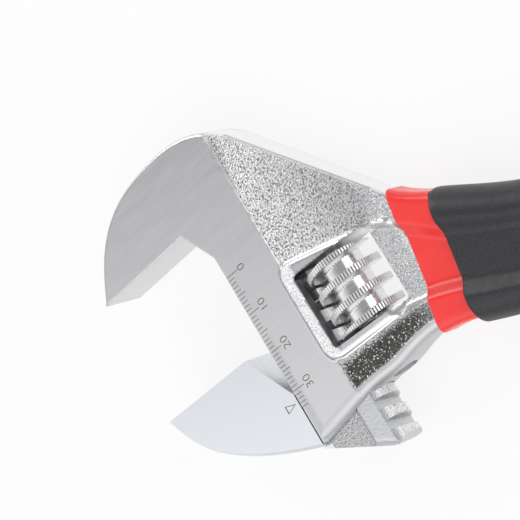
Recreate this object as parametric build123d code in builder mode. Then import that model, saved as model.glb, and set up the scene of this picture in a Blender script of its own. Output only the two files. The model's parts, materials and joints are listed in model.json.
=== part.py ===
"""Adjustable wrench of the 10-inch class, shown open at a little over 32 mm.

Millimetres. The origin is the middle of the fixed jaw's gripping face, +X runs along the handle to its
end, +Z leaves the face that carries the millimetre scale. The head is set over by HEAD_ANGLE: its own plan
is drawn in (t, s), where t runs from the throat out to the jaw tips and s runs along the slide, away from
the fixed jaw.
"""

import math
import os

from build123d import *

# head and jaws
HEAD_ANGLE = 22.5
OPENING = 32.4
JAW_HALF = 6.2
THROAT_CORNER = 5.3
FACET_LENGTH = 9.2
FIXED_TIP = 37.5
TIP_BLUNT = 0.6
TIP_CHAMFER = 0.4
JAW_MID = (THROAT_CORNER + FIXED_TIP) / 2
GROUND_EDGE_T = -15.1
GROUND_BEVEL = 0.8
SLIDE_END = 58.0
LOW_ROUND = 2.2

# as-forged faces: half thickness at the ground edge, at the tang and along the ground top rim
FORGED_HALF = 5.9
TANG_HALF = 3.5
SLOPE_END_T = -46.0
RIM_HALF = 4.1
RIM_FALL = 0.024
RIM_RISE = 0.18
RIM_REACH = 18.0
RIM_LEAD = 6.0
RIM_LENGTH = 60.0
APEX = (32.9, 26.7)
NECK_TOP = (68.0, 7.29)
FORGED_END = [(70.1, 40.0), (84.6, -60.0)]

# boss round the worm window, its top falling towards the tang
BOSS_T = -13.5
BOSS_HALF = 7.1
BOSS_FALL = 0.092
BOSS_CORNER = 2.0
BOSS_ROUND = 0.8
WINDOW_T = (-37.2, -17.0)
WINDOW_S = (24.6, 43.0)
WINDOW_ROUND = 1.2

# rack channel in the body, slide bar and tail of the movable jaw
BAR_T = -14.3
BAR_R = 5.2
BAR_HALF = 4.6
BAR_CLEARANCE = 0.15
BAR_ABOVE = 6.9
BAR_FULL_ABOVE = 1.0
BAR_TOP_HALF = 3.4
BAR_BELOW = 45.0
CHANNEL_END = -8.0
CHANNEL_STEP = -1.8
TAIL_START = (9.8, 23.1)
TAIL_ARC = [(-14.9, 34.7), (-18.2, 34.0), (-19.4, 31.2)]
TAIL_ROUND = 2.2
NECK_HALF = 3.2
NECK_CLEARANCE = 0.2
NECK_START = 13.0
SLOT_START = 12.2
SHOULDER_GAP = 0.2
BLADE_TIP = 38.3
BLADE_CORNER = 7.6
BLADE_END = 26.4

# worm and rack
PITCH = 5.0
WORM_T = -25.2
WORM_R = 8.3
WORM_ROOT_R = 5.0
WORM_LENGTH = 16.1
WORM_START = 26.1
WORM_CREST = 1.4
WORM_BASE = 2.5
GROOVE_OVER = 0.8
WORM_PHASE_S = 23.2
MESH_CLEARANCE = 0.3
RACK_GAPS = 9
COUNTERBORE_R = 4.1
COUNTERBORE_DEPTH = 6.6

# worm pin and spring
PIN_R = 2.4
PIN_HEAD_R = 3.0
PIN_TIP = 18.8
PIN_STEP = 44.0
PIN_END = 52.9
PIN_RUN = 0.08
PIN_SEAT = 0.04
SLOT_WIDTH = 1.1
SLOT_DEPTH = 1.4
WIRE_R = 0.4
SPRING_R = 3.2
SPRING_TURNS = 3
SPRING_END_GAP = 0.1

# handle
HANDLE_Y = -11.1
TANG_WIDTH = 19.8
TANG_ARC = 204.0
TANG_END = 214.0
TANG_TOP = [(73.0, 4.6), (83.1, 2.3), (99.0, -0.4), (126.0, -1.6)]
TANG_LOW = [(77.5, -24.8), (87.2, -22.8), (99.0, -21.6), (126.0, -20.7)]
WEB_HALF = 2.0
WEB_SLOPE = 1.0
WEB_END = 197.0
SLEEVE = 1.0
SLEEVE_ROUND = 1.5
GRIP_FRONT = (83.1, 3.9)
GRIP_FRONT_LEAN = 0.145
GRIP_FRONT_ROUND = 0.8
GRIP_END_ROUND = 3.0
HANG_X = 228.5
HANG_R = 4.5
FAR = 20.0

END_TOP = HANDLE_Y + TANG_WIDTH / 2
END_LOW = HANDLE_Y - TANG_WIDTH / 2

angle = math.radians(HEAD_ANGLE)
out_dir = Vector(-math.cos(angle), -math.sin(angle), 0)
slide_dir = Vector(math.sin(angle), -math.cos(angle), 0)
throat = out_dir * -JAW_MID
HEAD = Plane(origin=throat, x_dir=out_dir, z_dir=(0, 0, 1))
JAW = Plane(origin=throat + slide_dir * OPENING, x_dir=out_dir, z_dir=(0, 0, 1))
SLIDE_SIDE = Plane(origin=throat, x_dir=out_dir, z_dir=slide_dir * -1)


def across(t, s):
    """Plane square to the slide, its centre at (t, s) on the mid-plane, x out to the jaw tips."""
    return Plane(origin=throat + out_dir * t + slide_dir * s, x_dir=out_dir, z_dir=slide_dir)


def at(t, s):
    """Plan point of the head from its own coordinates (t, s)."""
    point = throat + out_dir * t + slide_dir * s
    return (point.X, point.Y)


def tang_top(grow):
    """Upper edge of the tang, from the collar to the end arc, moved out by grow."""
    return [(x, y + grow) for x, y in TANG_TOP] + [(TANG_ARC, END_TOP + grow)]


def tang_low(grow):
    """Lower edge of the tang, from the collar to the end arc, moved out by grow."""
    return [(x, y - grow) for x, y in TANG_LOW] + [(TANG_ARC, END_LOW - grow)]


def body_plan():
    """Plan of the whole forging: fixed jaw, throat, slide face, lower edge, tang, top rim, outer curve."""
    tip = at(FIXED_TIP, -TIP_BLUNT)
    lower = [at(0, SLIDE_END), at(-6.0, 57.0), at(-12.0, 55.9), at(-20.5, 54.6), (65.1, -31.8), (72.1, -27.3)]
    nose = [APEX, at(-13.4, -16.2), at(-6.0, -18.6), at(5.8, -19.2), at(16.5, -17.7), at(25.8, -13.5)]
    with BuildLine() as edge:
        Polyline(tip, at(FIXED_TIP, 0), at(THROAT_CORNER, 0), at(0, FACET_LENGTH), at(0, SLIDE_END))
        Spline(*lower, *tang_low(0))
        ThreePointArc((TANG_ARC, END_LOW), (TANG_END, HANDLE_Y), (TANG_ARC, END_TOP))
        Spline(*reversed(tang_top(0)), NECK_TOP, tangents=((-1, -0.01), (-0.875, 0.484)))
        Line(NECK_TOP, APEX)
        Spline(*nose, at(31.3, -8.7), tip)
    return edge


def sleeve_plan():
    """Plan of the red sleeve: the edges of the tang moved out by its thickness, its front leaning."""
    with BuildLine() as edge:
        Spline(*tang_top(SLEEVE))
        ThreePointArc(tang_top(SLEEVE)[-1], (TANG_END + SLEEVE, HANDLE_Y), tang_low(SLEEVE)[-1])
        Spline(*reversed(tang_low(SLEEVE)))
        Line(tang_low(SLEEVE)[0], tang_top(SLEEVE)[0])
    return edge


def web_plan(z, grow):
    """Outline of the recess between the two flanges of the tang, at one height, opened out by grow."""
    front = 0.3 * grow
    with BuildSketch(Plane.XY.offset(z)) as outline:
        with BuildLine():
            Spline(
                (63.4 - front, -1.9 + grow), (76.0, -3.9 + grow), (84.2, -6.0 + grow), (93.0, -6.4 + grow),
                (126.0, -6.7 + grow), (WEB_END, -6.7 + grow),
            )
            ThreePointArc((WEB_END, -6.7 + grow), (WEB_END + 4.4 + grow, HANDLE_Y), (WEB_END, -15.5 - grow))
            Spline(
                (WEB_END, -15.5 - grow), (126.0, -15.5 - grow), (93.0, -15.8 - grow), (77.0, -16.5 - grow),
                (69.9 - front, -17.9 - grow),
            )
            Line((69.9 - front, -17.9 - grow), (63.4 - front, -1.9 + grow))
        make_face()
    return outline.sketch


def grip_section(x, centre, width, height, dip):
    """Closed section of the outer grip: rounded sides, two flanges and a dip between them."""
    half = width / 2
    top = height / 2
    right = [(half, 0), (0.95 * half, 0.62 * top), (0.74 * half, 0.97 * top), (0.36 * half, top - 0.75 * dip)]
    upper = right + [(0, top - dip)] + [(-y, z) for y, z in reversed(right)]
    lower = [(-y, -z) for y, z in upper[1:-1]]
    with BuildSketch(Plane(origin=(x, centre, 0), x_dir=(0, 1, 0), z_dir=(1, 0, 0))) as section:
        with BuildLine():
            Spline(*upper, *lower, periodic=True)
        make_face()
    return section.sketch


def helix_point(turn):
    """Point and unit tangent of the spring's wire after a number of turns, on the worm's axis."""
    rise = (SPRING_LENGTH - 2 * WIRE_R) / SPRING_TURNS
    a = 2 * math.pi * turn
    point = Vector(SPRING_R * math.cos(a), SPRING_R * math.sin(a), WIRE_R + rise * turn)
    run = Vector(-SPRING_R * math.sin(a), SPRING_R * math.cos(a), rise / (2 * math.pi))
    return point, run.normalized()


def biarc_joint(start, start_run, end, end_run):
    """Meeting point of the two arcs that join two points along two given tangents."""
    chord = end - start
    both = start_run + end_run
    bend = 2 * (1 - start_run.dot(end_run))
    along = chord.dot(both)
    reach = (math.sqrt(along * along + bend * chord.dot(chord)) - along) / bend
    return (start + end + (start_run - end_run) * reach) * 0.5


def least_self_gap(samples, skip, wire):
    """Least clear gap of a wire to itself, on points of its centre line."""
    nearest = min(
        (samples[i] - samples[j]).length for i in range(len(samples)) for j in range(i + skip, len(samples))
    )
    return nearest - wire


# the flats ground on both sides of the head, bevelled along the nose and rounded along the lower edge
with BuildPart() as ground:
    with BuildSketch(Plane.XY):
        add(body_plan())
        make_face()
        with BuildLine():
            Polyline(at(GROUND_EDGE_T, -40), at(60, -40), at(60, 80), at(GROUND_EDGE_T, 80), close=True)
        make_face(mode=Mode.INTERSECT)
    extrude(amount=JAW_HALF, both=True)
    curved = edges().filter_by(GeomType.BSPLINE).filter_by(lambda e: abs(e.center().Z) > JAW_HALF - 0.1)
    fillet(curved.filter_by(lambda e: e.center().Y < -30), radius=LOW_ROUND)
    curved = edges().filter_by(GeomType.BSPLINE).filter_by(lambda e: abs(e.center().Z) > JAW_HALF - 0.1)
    chamfer(curved.filter_by(lambda e: e.center().Y > -25), length=GROUND_BEVEL)
    chamfer(ground.edges().filter_by(Axis.Z).sort_by(Axis.X)[0:2], length=TIP_CHAMFER)

# the boss round the worm window, its top leaning down to the tang
with BuildPart() as boss:
    with BuildSketch(HEAD):
        with BuildLine():
            Polyline(
                (BOSS_T, 22.4), (-15.6, 20.7), (-27.0, 23.0), (-44.0, 26.8), (-44.0, 46.2), (-37.8, 44.9),
                (-16.0, 45.4), (BOSS_T, 43.4), close=True,
            )
        make_face()
        fillet(vertices(), radius=BOSS_CORNER)
    extrude(amount=FAR, both=True)
    with BuildSketch(SLIDE_SIDE):
        with BuildLine():
            high = BOSS_HALF + BOSS_FALL * (10 - BOSS_T)
            low = BOSS_HALF + BOSS_FALL * (-60 - BOSS_T)
            Polyline((10, high), (-60, low), (-60, -low), (10, -high), close=True)
        make_face()
    extrude(amount=400, both=True, mode=Mode.INTERSECT)
    fillet(faces().sort_by(Axis.Z)[-1].edges() + faces().sort_by(Axis.Z)[0].edges(), radius=BOSS_ROUND)

# the as-forged part of the head: one sloping face on each side, falling to the top rim, lower edges rounded
with BuildPart() as forged:
    with BuildSketch(Plane.XY):
        add(body_plan())
        make_face()
        with BuildLine():
            Polyline((-60, 60), FORGED_END[0], FORGED_END[1], (-60, -80), close=True)
        make_face(mode=Mode.INTERSECT)
    extrude(amount=FAR, both=True)
    fall = (FORGED_HALF - TANG_HALF) / (GROUND_EDGE_T - SLOPE_END_T)
    high = FORGED_HALF + fall * (60 - GROUND_EDGE_T)
    low = FORGED_HALF + fall * (-60 - GROUND_EDGE_T)
    with BuildSketch(SLIDE_SIDE):
        with BuildLine():
            Polyline((60, high), (-60, low), (-60, -low), (60, -high), close=True)
        make_face()
    extrude(amount=400, both=True, mode=Mode.INTERSECT)
    rims = edges().filter_by(GeomType.BSPLINE).filter_by(lambda e: abs(e.center().Z) > WEB_HALF)
    fillet(rims.filter_by(lambda e: e.center().Y < -22), radius=LOW_ROUND)
    rim_run = (Vector(*NECK_TOP) - Vector(*APEX)).normalized()
    rim_in = Vector(rim_run.Y, -rim_run.X)
    rim_start = Vector(*APEX) - rim_run * RIM_LEAD
    rim_outer = RIM_HALF + RIM_LEAD * (RIM_FALL - RIM_RISE)
    rim_inner = RIM_HALF + RIM_LEAD * RIM_FALL + RIM_REACH * RIM_RISE
    for side in (1, -1):
        rim_lean = rim_run + Vector(0, 0, side * RIM_FALL)
        with BuildSketch(Plane(origin=rim_start, x_dir=rim_in, z_dir=rim_lean)):
            with BuildLine():
                Polyline(
                    (-RIM_LEAD, side * rim_outer), (RIM_REACH, side * rim_inner), (RIM_REACH, side * FAR),
                    (-RIM_LEAD, side * FAR), close=True,
                )
            make_face()
        extrude(amount=RIM_LENGTH, mode=Mode.SUBTRACT)
    with BuildSketch(HEAD):
        with BuildLine():
            Polyline((GROUND_EDGE_T, -60), (80, -60), (80, 90), (GROUND_EDGE_T, 90), close=True)
        make_face()
    extrude(amount=FAR, both=True, mode=Mode.SUBTRACT)

# the body: as-forged head, ground flats, boss and tang in one, with the cuts that take the other pieces
with BuildPart() as body:
    with BuildSketch(Plane.XY):
        add(body_plan())
        make_face()
        with BuildLine():
            Polyline((260, 60), FORGED_END[0], FORGED_END[1], (260, -80), close=True)
        make_face(mode=Mode.INTERSECT)
    extrude(amount=TANG_HALF, both=True)
    add(forged.part)
    add(ground.part)
    add(boss.part)
    with BuildSketch(HEAD):
        with Locations(((WINDOW_T[0] + WINDOW_T[1]) / 2, (WINDOW_S[0] + WINDOW_S[1]) / 2)):
            RectangleRounded(WINDOW_T[1] - WINDOW_T[0], WINDOW_S[1] - WINDOW_S[0], WINDOW_ROUND)
    extrude(amount=FAR, both=True, mode=Mode.SUBTRACT)
    for side in (1, -1):
        floor_face = web_plan(side * WEB_HALF, 0)
        mouth_face = web_plan(side * BOSS_HALF, WEB_SLOPE * (BOSS_HALF - WEB_HALF))
        loft(sections=[floor_face, mouth_face], ruled=True, mode=Mode.SUBTRACT)
    with BuildSketch(across(BAR_T, CHANNEL_STEP)):
        Circle(BAR_R + BAR_CLEARANCE)
        Rectangle(FAR, 2 * (BAR_HALF + BAR_CLEARANCE), mode=Mode.INTERSECT)
    extrude(amount=SLIDE_END - CHANNEL_STEP + FAR, mode=Mode.SUBTRACT)
    with BuildSketch(across(BAR_T, CHANNEL_END)):
        Circle(BAR_R + BAR_CLEARANCE)
        Rectangle(FAR, 2 * (BAR_TOP_HALF + BAR_CLEARANCE), mode=Mode.INTERSECT)
    extrude(amount=CHANNEL_STEP - CHANNEL_END + 1, mode=Mode.SUBTRACT)
    with BuildSketch(HEAD):
        with BuildLine():
            Polyline((BAR_T, SLOT_START), (2, SLOT_START), (2, 80), (BAR_T, 80), close=True)
        make_face()
    extrude(amount=NECK_HALF + NECK_CLEARANCE, both=True, mode=Mode.SUBTRACT)
    with BuildSketch(across(WORM_T, PIN_TIP - PIN_SEAT)):
        Circle(PIN_R + PIN_SEAT)
    extrude(amount=PIN_STEP - PIN_TIP, mode=Mode.SUBTRACT)
    with BuildSketch(across(WORM_T, PIN_STEP - PIN_SEAT)):
        Circle(PIN_HEAD_R + PIN_SEAT)
    extrude(amount=FAR, mode=Mode.SUBTRACT)
body.part.label = "body"

# slide bar of the movable jaw: round at its sides, flat above and below, rounded over at its tail end
tail_run = out_dir * (TAIL_ARC[0][0] - TAIL_START[0]) + slide_dir * (TAIL_ARC[0][1] - TAIL_START[1])
tail_end = JAW.origin + out_dir * TAIL_START[0] + slide_dir * TAIL_START[1]

with BuildPart() as bar:
    with BuildSketch(across(BAR_T, OPENING - BAR_ABOVE)):
        Circle(BAR_R)
        Rectangle(FAR, 2 * BAR_TOP_HALF, mode=Mode.INTERSECT)
    extrude(amount=BAR_ABOVE)
    with BuildSketch(across(BAR_T, OPENING - BAR_FULL_ABOVE)):
        Circle(BAR_R)
        Rectangle(FAR, 2 * BAR_HALF, mode=Mode.INTERSECT)
    extrude(amount=BAR_FULL_ABOVE + BAR_BELOW)
    with BuildSketch(Plane(tail_end, x_dir=Vector(0, 0, 1).cross(tail_run), z_dir=tail_run)):
        with Locations((2 * FAR, 0)):
            RectangleRounded(4 * FAR, 2 * BAR_HALF, TAIL_ROUND)
    extrude(amount=2 * FAR, both=True, mode=Mode.INTERSECT)

# movable jaw: blade, neck and slide bar, with the rack cut to the slant of the worm's thread
with BuildPart() as movable_jaw:
    with BuildSketch(JAW):
        with BuildLine():
            tip = (BLADE_TIP, TIP_BLUNT)
            heel = (SHOULDER_GAP, BLADE_END)
            Polyline(tip, (BLADE_TIP, 0), (BLADE_CORNER, 0), (SHOULDER_GAP, NECK_START), heel)
            Spline(heel, (9.8, 23.2), (18.2, 19.7), (26.1, 15.3), (32.4, 10.2), (36.0, 5.2), tip)
        make_face()
    extrude(amount=JAW_HALF, both=True)
    chamfer(movable_jaw.edges().filter_by(GeomType.BSPLINE), length=GROUND_BEVEL)
    with BuildSketch(JAW):
        with BuildLine():
            Polyline(
                (3, 20), (SHOULDER_GAP, NECK_START), (BAR_T, NECK_START), (BAR_T, BAR_BELOW), (3, BAR_BELOW),
                close=True,
            )
        make_face()
    extrude(amount=NECK_HALF, both=True)
    add(bar.part)
    with BuildSketch(JAW):
        with BuildLine():
            Line(TAIL_START, TAIL_ARC[0])
            ThreePointArc(*TAIL_ARC)
            Polyline(TAIL_ARC[2], (-30, TAIL_ARC[2][1]), (-30, 70), (TAIL_START[0], 70), TAIL_START)
        make_face()
    extrude(amount=FAR, both=True, mode=Mode.SUBTRACT)
    slant = PITCH / (2 * math.pi * 0.85 * WORM_R)
    first = math.floor((OPENING - BAR_ABOVE - WORM_PHASE_S) / PITCH)
    bottom = WORM_CREST / 2 + MESH_CLEARANCE
    mouth = WORM_BASE / 2 + MESH_CLEARANCE
    deep_t = WORM_T + WORM_R + MESH_CLEARANCE
    open_t = WORM_T + WORM_ROOT_R
    below = JAW.origin + slide_dir * FAR / 2 * slant - Vector(0, 0, FAR / 2)
    for tooth in range(first, first + RACK_GAPS):
        gap = WORM_PHASE_S + PITCH * tooth - OPENING
        with BuildSketch(Plane(below, x_dir=out_dir, z_dir=(0, 0, 1))):
            with BuildLine():
                Polyline(
                    (deep_t, gap - bottom), (deep_t, gap + bottom), (open_t, gap + mouth),
                    (open_t, gap - mouth), close=True,
                )
            make_face()
        extrude(amount=FAR, dir=Vector(0, 0, 1) - slide_dir * slant, mode=Mode.SUBTRACT)
movable_jaw.part.label = "movable_jaw"

# worm: single-start right-handed thread left standing by a helical groove, bored for the pin and the spring
with BuildPart() as groove:
    groove_start = WORM_PHASE_S - WORM_START - PITCH / 2
    with BuildLine():
        Helix(pitch=PITCH, height=WORM_LENGTH + 2 * PITCH, radius=WORM_R, center=(0, 0, groove_start))
    lead = Vector(0, 2 * math.pi * WORM_R, PITCH)
    depth = WORM_R - WORM_ROOT_R
    floor_half = (PITCH - WORM_BASE) / 2
    mouth_half = (PITCH - WORM_CREST) / 2 + GROOVE_OVER * (WORM_BASE - WORM_CREST) / 2 / depth
    with BuildSketch(Plane(origin=(WORM_R, 0, groove_start), x_dir=(1, 0, 0), z_dir=lead)):
        with BuildLine():
            Polyline(
                (-depth, -floor_half), (GROOVE_OVER, -mouth_half), (GROOVE_OVER, mouth_half),
                (-depth, floor_half), close=True,
            )
        make_face()
    sweep(is_frenet=True)

with BuildPart() as worm_blank:
    Cylinder(WORM_R, WORM_LENGTH, align=(Align.CENTER, Align.CENTER, Align.MIN))
    add(groove.part, mode=Mode.SUBTRACT)
    Cylinder(PIN_R + PIN_RUN, 3 * WORM_LENGTH, mode=Mode.SUBTRACT)
    with Locations((0, 0, 1.5 * WORM_LENGTH - COUNTERBORE_DEPTH)):
        Cylinder(COUNTERBORE_R, WORM_LENGTH, mode=Mode.SUBTRACT)

with BuildPart() as worm:
    add(worm_blank.part.moved(across(WORM_T, WORM_START).location))
worm.part.label = "worm"

# worm pin: plain journal in the worm, thicker head end with a driver slot
with BuildPart() as worm_pin:
    with BuildSketch(across(WORM_T, PIN_TIP)):
        Circle(PIN_R)
    extrude(amount=PIN_END - PIN_TIP)
    with BuildSketch(across(WORM_T, PIN_STEP)):
        Circle(PIN_HEAD_R)
    extrude(amount=PIN_END - PIN_STEP)
    with BuildSketch(across(WORM_T, PIN_END - SLOT_DEPTH)):
        Rectangle(3 * PIN_HEAD_R, SLOT_WIDTH)
    extrude(amount=FAR, mode=Mode.SUBTRACT)
worm_pin.part.label = "worm_pin"

# worm spring: one unbroken wire between the counterbore's floor and the window's wall
SPRING_START = WORM_START + WORM_LENGTH - COUNTERBORE_DEPTH + SPRING_END_GAP
SPRING_LENGTH = WINDOW_S[1] - SPRING_END_GAP - SPRING_START
with BuildPart() as spring_wire:
    with BuildLine():
        for quarter in range(4 * SPRING_TURNS):
            start, start_run = helix_point(quarter / 4)
            end, end_run = helix_point((quarter + 1) / 4)
            joint = biarc_joint(start, start_run, end, end_run)
            first_arc = TangentArc(start, joint, tangent=start_run)
            TangentArc(joint, end, tangent=first_arc % 1)
    wire_start, wire_run = helix_point(0)
    with BuildSketch(Plane(origin=wire_start, x_dir=(1, 0, 0), z_dir=wire_run)):
        Circle(WIRE_R)
    sweep()
points = [helix_point(k / 48)[0] for k in range(48 * SPRING_TURNS + 1)]
print("least gap between the spring's turns, mm:", round(least_self_gap(points, 24, 2 * WIRE_R), 3))

with BuildPart() as worm_spring:
    add(spring_wire.part.moved(across(WORM_T, SPRING_START).location))
worm_spring.part.label = "worm_spring"

# red inner sleeve: follows the flanges and the web of the tang
with BuildPart() as sleeve_form:
    with BuildSketch(Plane.XY):
        add(sleeve_plan())
        make_face()
    extrude(amount=TANG_HALF + SLEEVE, both=True)
    rims = edges().filter_by(lambda e: abs(e.center().Z) > TANG_HALF and e.center().X > 80)
    fillet(rims, radius=SLEEVE_ROUND)
    for side in (1, -1):
        floor_face = web_plan(side * (WEB_HALF + SLEEVE), -0.5 * SLEEVE)
        mouth_face = web_plan(side * BOSS_HALF, WEB_SLOPE * (BOSS_HALF - WEB_HALF - SLEEVE) - 0.5 * SLEEVE)
        loft(sections=[floor_face, mouth_face], ruled=True, mode=Mode.SUBTRACT)

with BuildPart() as inner_grip:
    add(sleeve_form.part)
    add(body.part, mode=Mode.SUBTRACT)
inner_grip.part.label = "inner_grip"

# black outer grip, waisted near the neck and swelling to the end, with a hang hole behind the tang
with BuildPart() as outer_grip:
    add(grip_section(78.0, -9.9, 31.0, 12.4, 2.3))
    add(grip_section(86.0, -10.4, 29.4, 12.6, 2.2))
    add(grip_section(99.0, -10.9, 26.9, 13.4, 1.8))
    add(grip_section(126.0, HANDLE_Y, 25.9, 14.4, 1.2))
    add(grip_section(171.0, HANDLE_Y, 28.8, 15.6, 0.9))
    add(grip_section(209.0, HANDLE_Y, 31.2, 15.6, 0.8))
    add(grip_section(231.0, HANDLE_Y, 27.2, 13.6, 0.4))
    add(grip_section(240.0, HANDLE_Y, 15.0, 8.6, 0.2))
    loft()
    with BuildSketch(Plane.XY):
        with BuildLine():
            front_high = (GRIP_FRONT[0] + GRIP_FRONT_LEAN * (GRIP_FRONT[1] - 40), 40)
            front_low = (GRIP_FRONT[0] + GRIP_FRONT_LEAN * (GRIP_FRONT[1] + 60), -60)
            Polyline((60, 40), front_high, front_low, (60, -60), close=True)
        make_face()
    extrude(amount=FAR, both=True, mode=Mode.SUBTRACT)
    fillet(faces().sort_by(Axis.X)[0].edges(), radius=GRIP_FRONT_ROUND)
    fillet(faces().sort_by(Axis.X)[-1].edges(), radius=GRIP_END_ROUND)
    add(sleeve_form.part, mode=Mode.SUBTRACT)
    with BuildSketch(Plane.XY):
        with Locations((HANG_X, HANDLE_Y)):
            Circle(HANG_R)
    extrude(amount=FAR, both=True, mode=Mode.SUBTRACT)
outer_grip.part.label = "outer_grip"

os.makedirs("parts", exist_ok=True)
export_step(body.part, "parts/body.step")
export_step(movable_jaw.part, "parts/movable_jaw.step")
export_step(worm.part, "parts/worm.step")
export_step(worm_pin.part, "parts/worm_pin.step")
export_step(worm_spring.part, "parts/worm_spring.step")
export_step(inner_grip.part, "parts/inner_grip.step")
export_step(outer_grip.part, "parts/outer_grip.step")
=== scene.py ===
"""Adjustable wrench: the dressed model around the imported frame.

All sizes are in millimetres in the row frame and become metres when a mesh is made. The head is drawn in
plan coordinates of its own (t, s): t runs from the throat out to the jaw tips, and s along the slide, away
from the fixed jaw.
"""

import json
import logging
import math
from dataclasses import dataclass
from enum import Enum
from typing import Optional, Sequence, Union

import bmesh
import bpy
import numpy as np
from mathutils import Matrix, Vector
from mathutils.geometry import delaunay_2d_cdt

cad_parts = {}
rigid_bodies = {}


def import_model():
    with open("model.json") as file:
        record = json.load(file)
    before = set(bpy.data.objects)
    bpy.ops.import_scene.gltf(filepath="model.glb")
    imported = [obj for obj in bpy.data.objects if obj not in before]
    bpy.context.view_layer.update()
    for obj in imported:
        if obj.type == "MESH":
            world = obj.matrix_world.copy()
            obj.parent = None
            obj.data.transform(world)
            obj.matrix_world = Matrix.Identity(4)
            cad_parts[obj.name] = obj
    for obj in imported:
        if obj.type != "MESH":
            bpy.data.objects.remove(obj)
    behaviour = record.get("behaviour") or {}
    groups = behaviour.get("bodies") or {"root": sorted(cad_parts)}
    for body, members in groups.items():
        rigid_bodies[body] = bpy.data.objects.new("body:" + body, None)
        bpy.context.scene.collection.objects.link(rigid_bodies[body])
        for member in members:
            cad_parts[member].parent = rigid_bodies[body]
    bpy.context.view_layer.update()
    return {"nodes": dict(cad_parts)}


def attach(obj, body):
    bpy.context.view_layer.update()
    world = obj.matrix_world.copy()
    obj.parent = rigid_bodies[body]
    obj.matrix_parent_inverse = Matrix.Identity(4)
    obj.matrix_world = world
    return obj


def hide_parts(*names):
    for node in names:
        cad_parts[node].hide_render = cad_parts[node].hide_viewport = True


LOG = logging.getLogger("wrench")
MM = 0.001
LATTICE = 256
NOISE_SPAN = (0.3, 0.7)
Array = np.ndarray
Pair = tuple[float, float]
Triple = tuple[float, float, float]
Colour = tuple[float, float, float]
Socket = bpy.types.NodeSocket


class Rider(Enum):
    """The rigid bodies that a piece can move with."""

    FRAME = "frame"
    JAW = "jaw"
    WORM = "worm"


class Region(Enum):
    """Named vertex masks that a finish can read."""

    FORGED = "forged"
    CAST = "cast"
    # Painted shade: dark colour in the shallow pocket between the boss and the lower edge.
    DEEP = "deep"
    # Painted shadow: dark colour on the window's inner walls.
    WELL = "well"
    # Painted shade: darker colour along the lower edge.
    LOW = "low"
    # Painted shade: dark colour in the knurl's notches.
    NOTCH = "notch"
    # Painted highlight: lighter colour laid on the boss's bead, the top rim band and the worm's crest.
    BRIGHT = "bright"


def smoothstep(low: float, high: float, value: Array) -> Array:
    """Cubic ease from 0 at low to 1 at high.

    Args:
        low: value that gives 0.
        high: value that gives 1.
        value: where to evaluate.

    Returns:
        The eased share at each value.
    """
    u = np.clip((value - low) / (high - low), 0.0, 1.0)
    return u * u * (3.0 - 2.0 * u)


def soft_min(a: Array, b: Array, width: float) -> Array:
    """Smaller of two heights with a rounded crossing: the quadratic blend over width.

    Args:
        a: first height.
        b: second height.
        width: span of the rounding.

    Returns:
        The blended height.
    """
    share = np.clip(0.5 + 0.5 * (b - a) / width, 0.0, 1.0)
    return b + (a - b) * share - width * share * (1.0 - share)


def value_noise(x: Array, y: Array, wave: float, seed: int) -> Array:
    """Lattice noise in -1..1: random corner values blended with an eased bilinear weight.

    Args:
        x: first coordinate.
        y: second coordinate.
        wave: lattice spacing.
        seed: seed of the corner values.

    Returns:
        The noise at each point.
    """
    table = np.random.default_rng(seed).uniform(-1.0, 1.0, (LATTICE, LATTICE))
    u, v = x / wave, y / wave
    iu, iv = np.floor(u).astype(int), np.floor(v).astype(int)
    fu, fv = smoothstep(0.0, 1.0, u - iu), smoothstep(0.0, 1.0, v - iv)
    left, right = iu % LATTICE, (iu + 1) % LATTICE
    below, above = iv % LATTICE, (iv + 1) % LATTICE
    low = table[left, below] * (1 - fu) + table[right, below] * fu
    high = table[left, above] * (1 - fu) + table[right, above] * fu
    return low * (1 - fv) + high * fv


def cubic_curve(
    points: Sequence[Sequence[float]],
    step: float,
    start: Optional[Sequence[float]] = None,
    end: Optional[Sequence[float]] = None,
) -> Array:
    """Cubic spline through points on a chord-length parameter, second derivative 0 at a free end.

    Args:
        points: points that the curve passes through.
        step: spacing of the samples.
        start: unit tangent at the first point, or None.
        end: unit tangent at the last point, or None.

    Returns:
        Samples along the curve, the last point left out.
    """
    p = np.asarray(points, float)
    h = np.linalg.norm(np.diff(p, axis=0), axis=1)
    n = len(p)
    a = np.zeros((n, n))
    b = np.zeros_like(p)
    rows = np.arange(1, n - 1)
    a[rows, rows - 1], a[rows, rows], a[rows, rows + 1] = h[1:], 2 * (h[:-1] + h[1:]), h[:-1]
    slope = np.diff(p, axis=0) / h[:, None]
    b[rows] = 3 * (h[1:, None] * slope[:-1] + h[:-1, None] * slope[1:])
    if start is None:
        a[0, :2], b[0] = (2, 1), 3 * slope[0]
    else:
        a[0, 0], b[0] = 1, start
    if end is None:
        a[-1, -2:], b[-1] = (1, 2), 3 * slope[-1]
    else:
        a[-1, -1], b[-1] = 1, end
    m = np.linalg.solve(a, b)
    knots = np.concatenate(([0.0], np.cumsum(h)))
    at = np.arange(0.0, knots[-1] - step / 2, step)
    i = np.clip(np.searchsorted(knots, at, side="right") - 1, 0, n - 2)
    u = ((at - knots[i]) / h[i])[:, None]
    hi = h[i][:, None]
    return (
        (2 * u**3 - 3 * u**2 + 1) * p[i]
        + (u**3 - 2 * u**2 + u) * hi * m[i]
        + (3 * u**2 - 2 * u**3) * p[i + 1]
        + (u**3 - u**2) * hi * m[i + 1]
    )


def straight(points: Sequence[Sequence[float]], step: float) -> Array:
    """Samples along straight runs, the last point left out.

    Args:
        points: corners of the runs.
        step: largest spacing of the samples.

    Returns:
        The samples, each corner among them.
    """
    p = np.asarray(points, float)
    runs = []
    for a, b in zip(p[:-1], p[1:]):
        count = max(1, int(math.ceil(np.linalg.norm(b - a) / step)))
        runs.append(a + (b - a) * (np.arange(count) / count)[:, None])
    return np.concatenate(runs)


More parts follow.
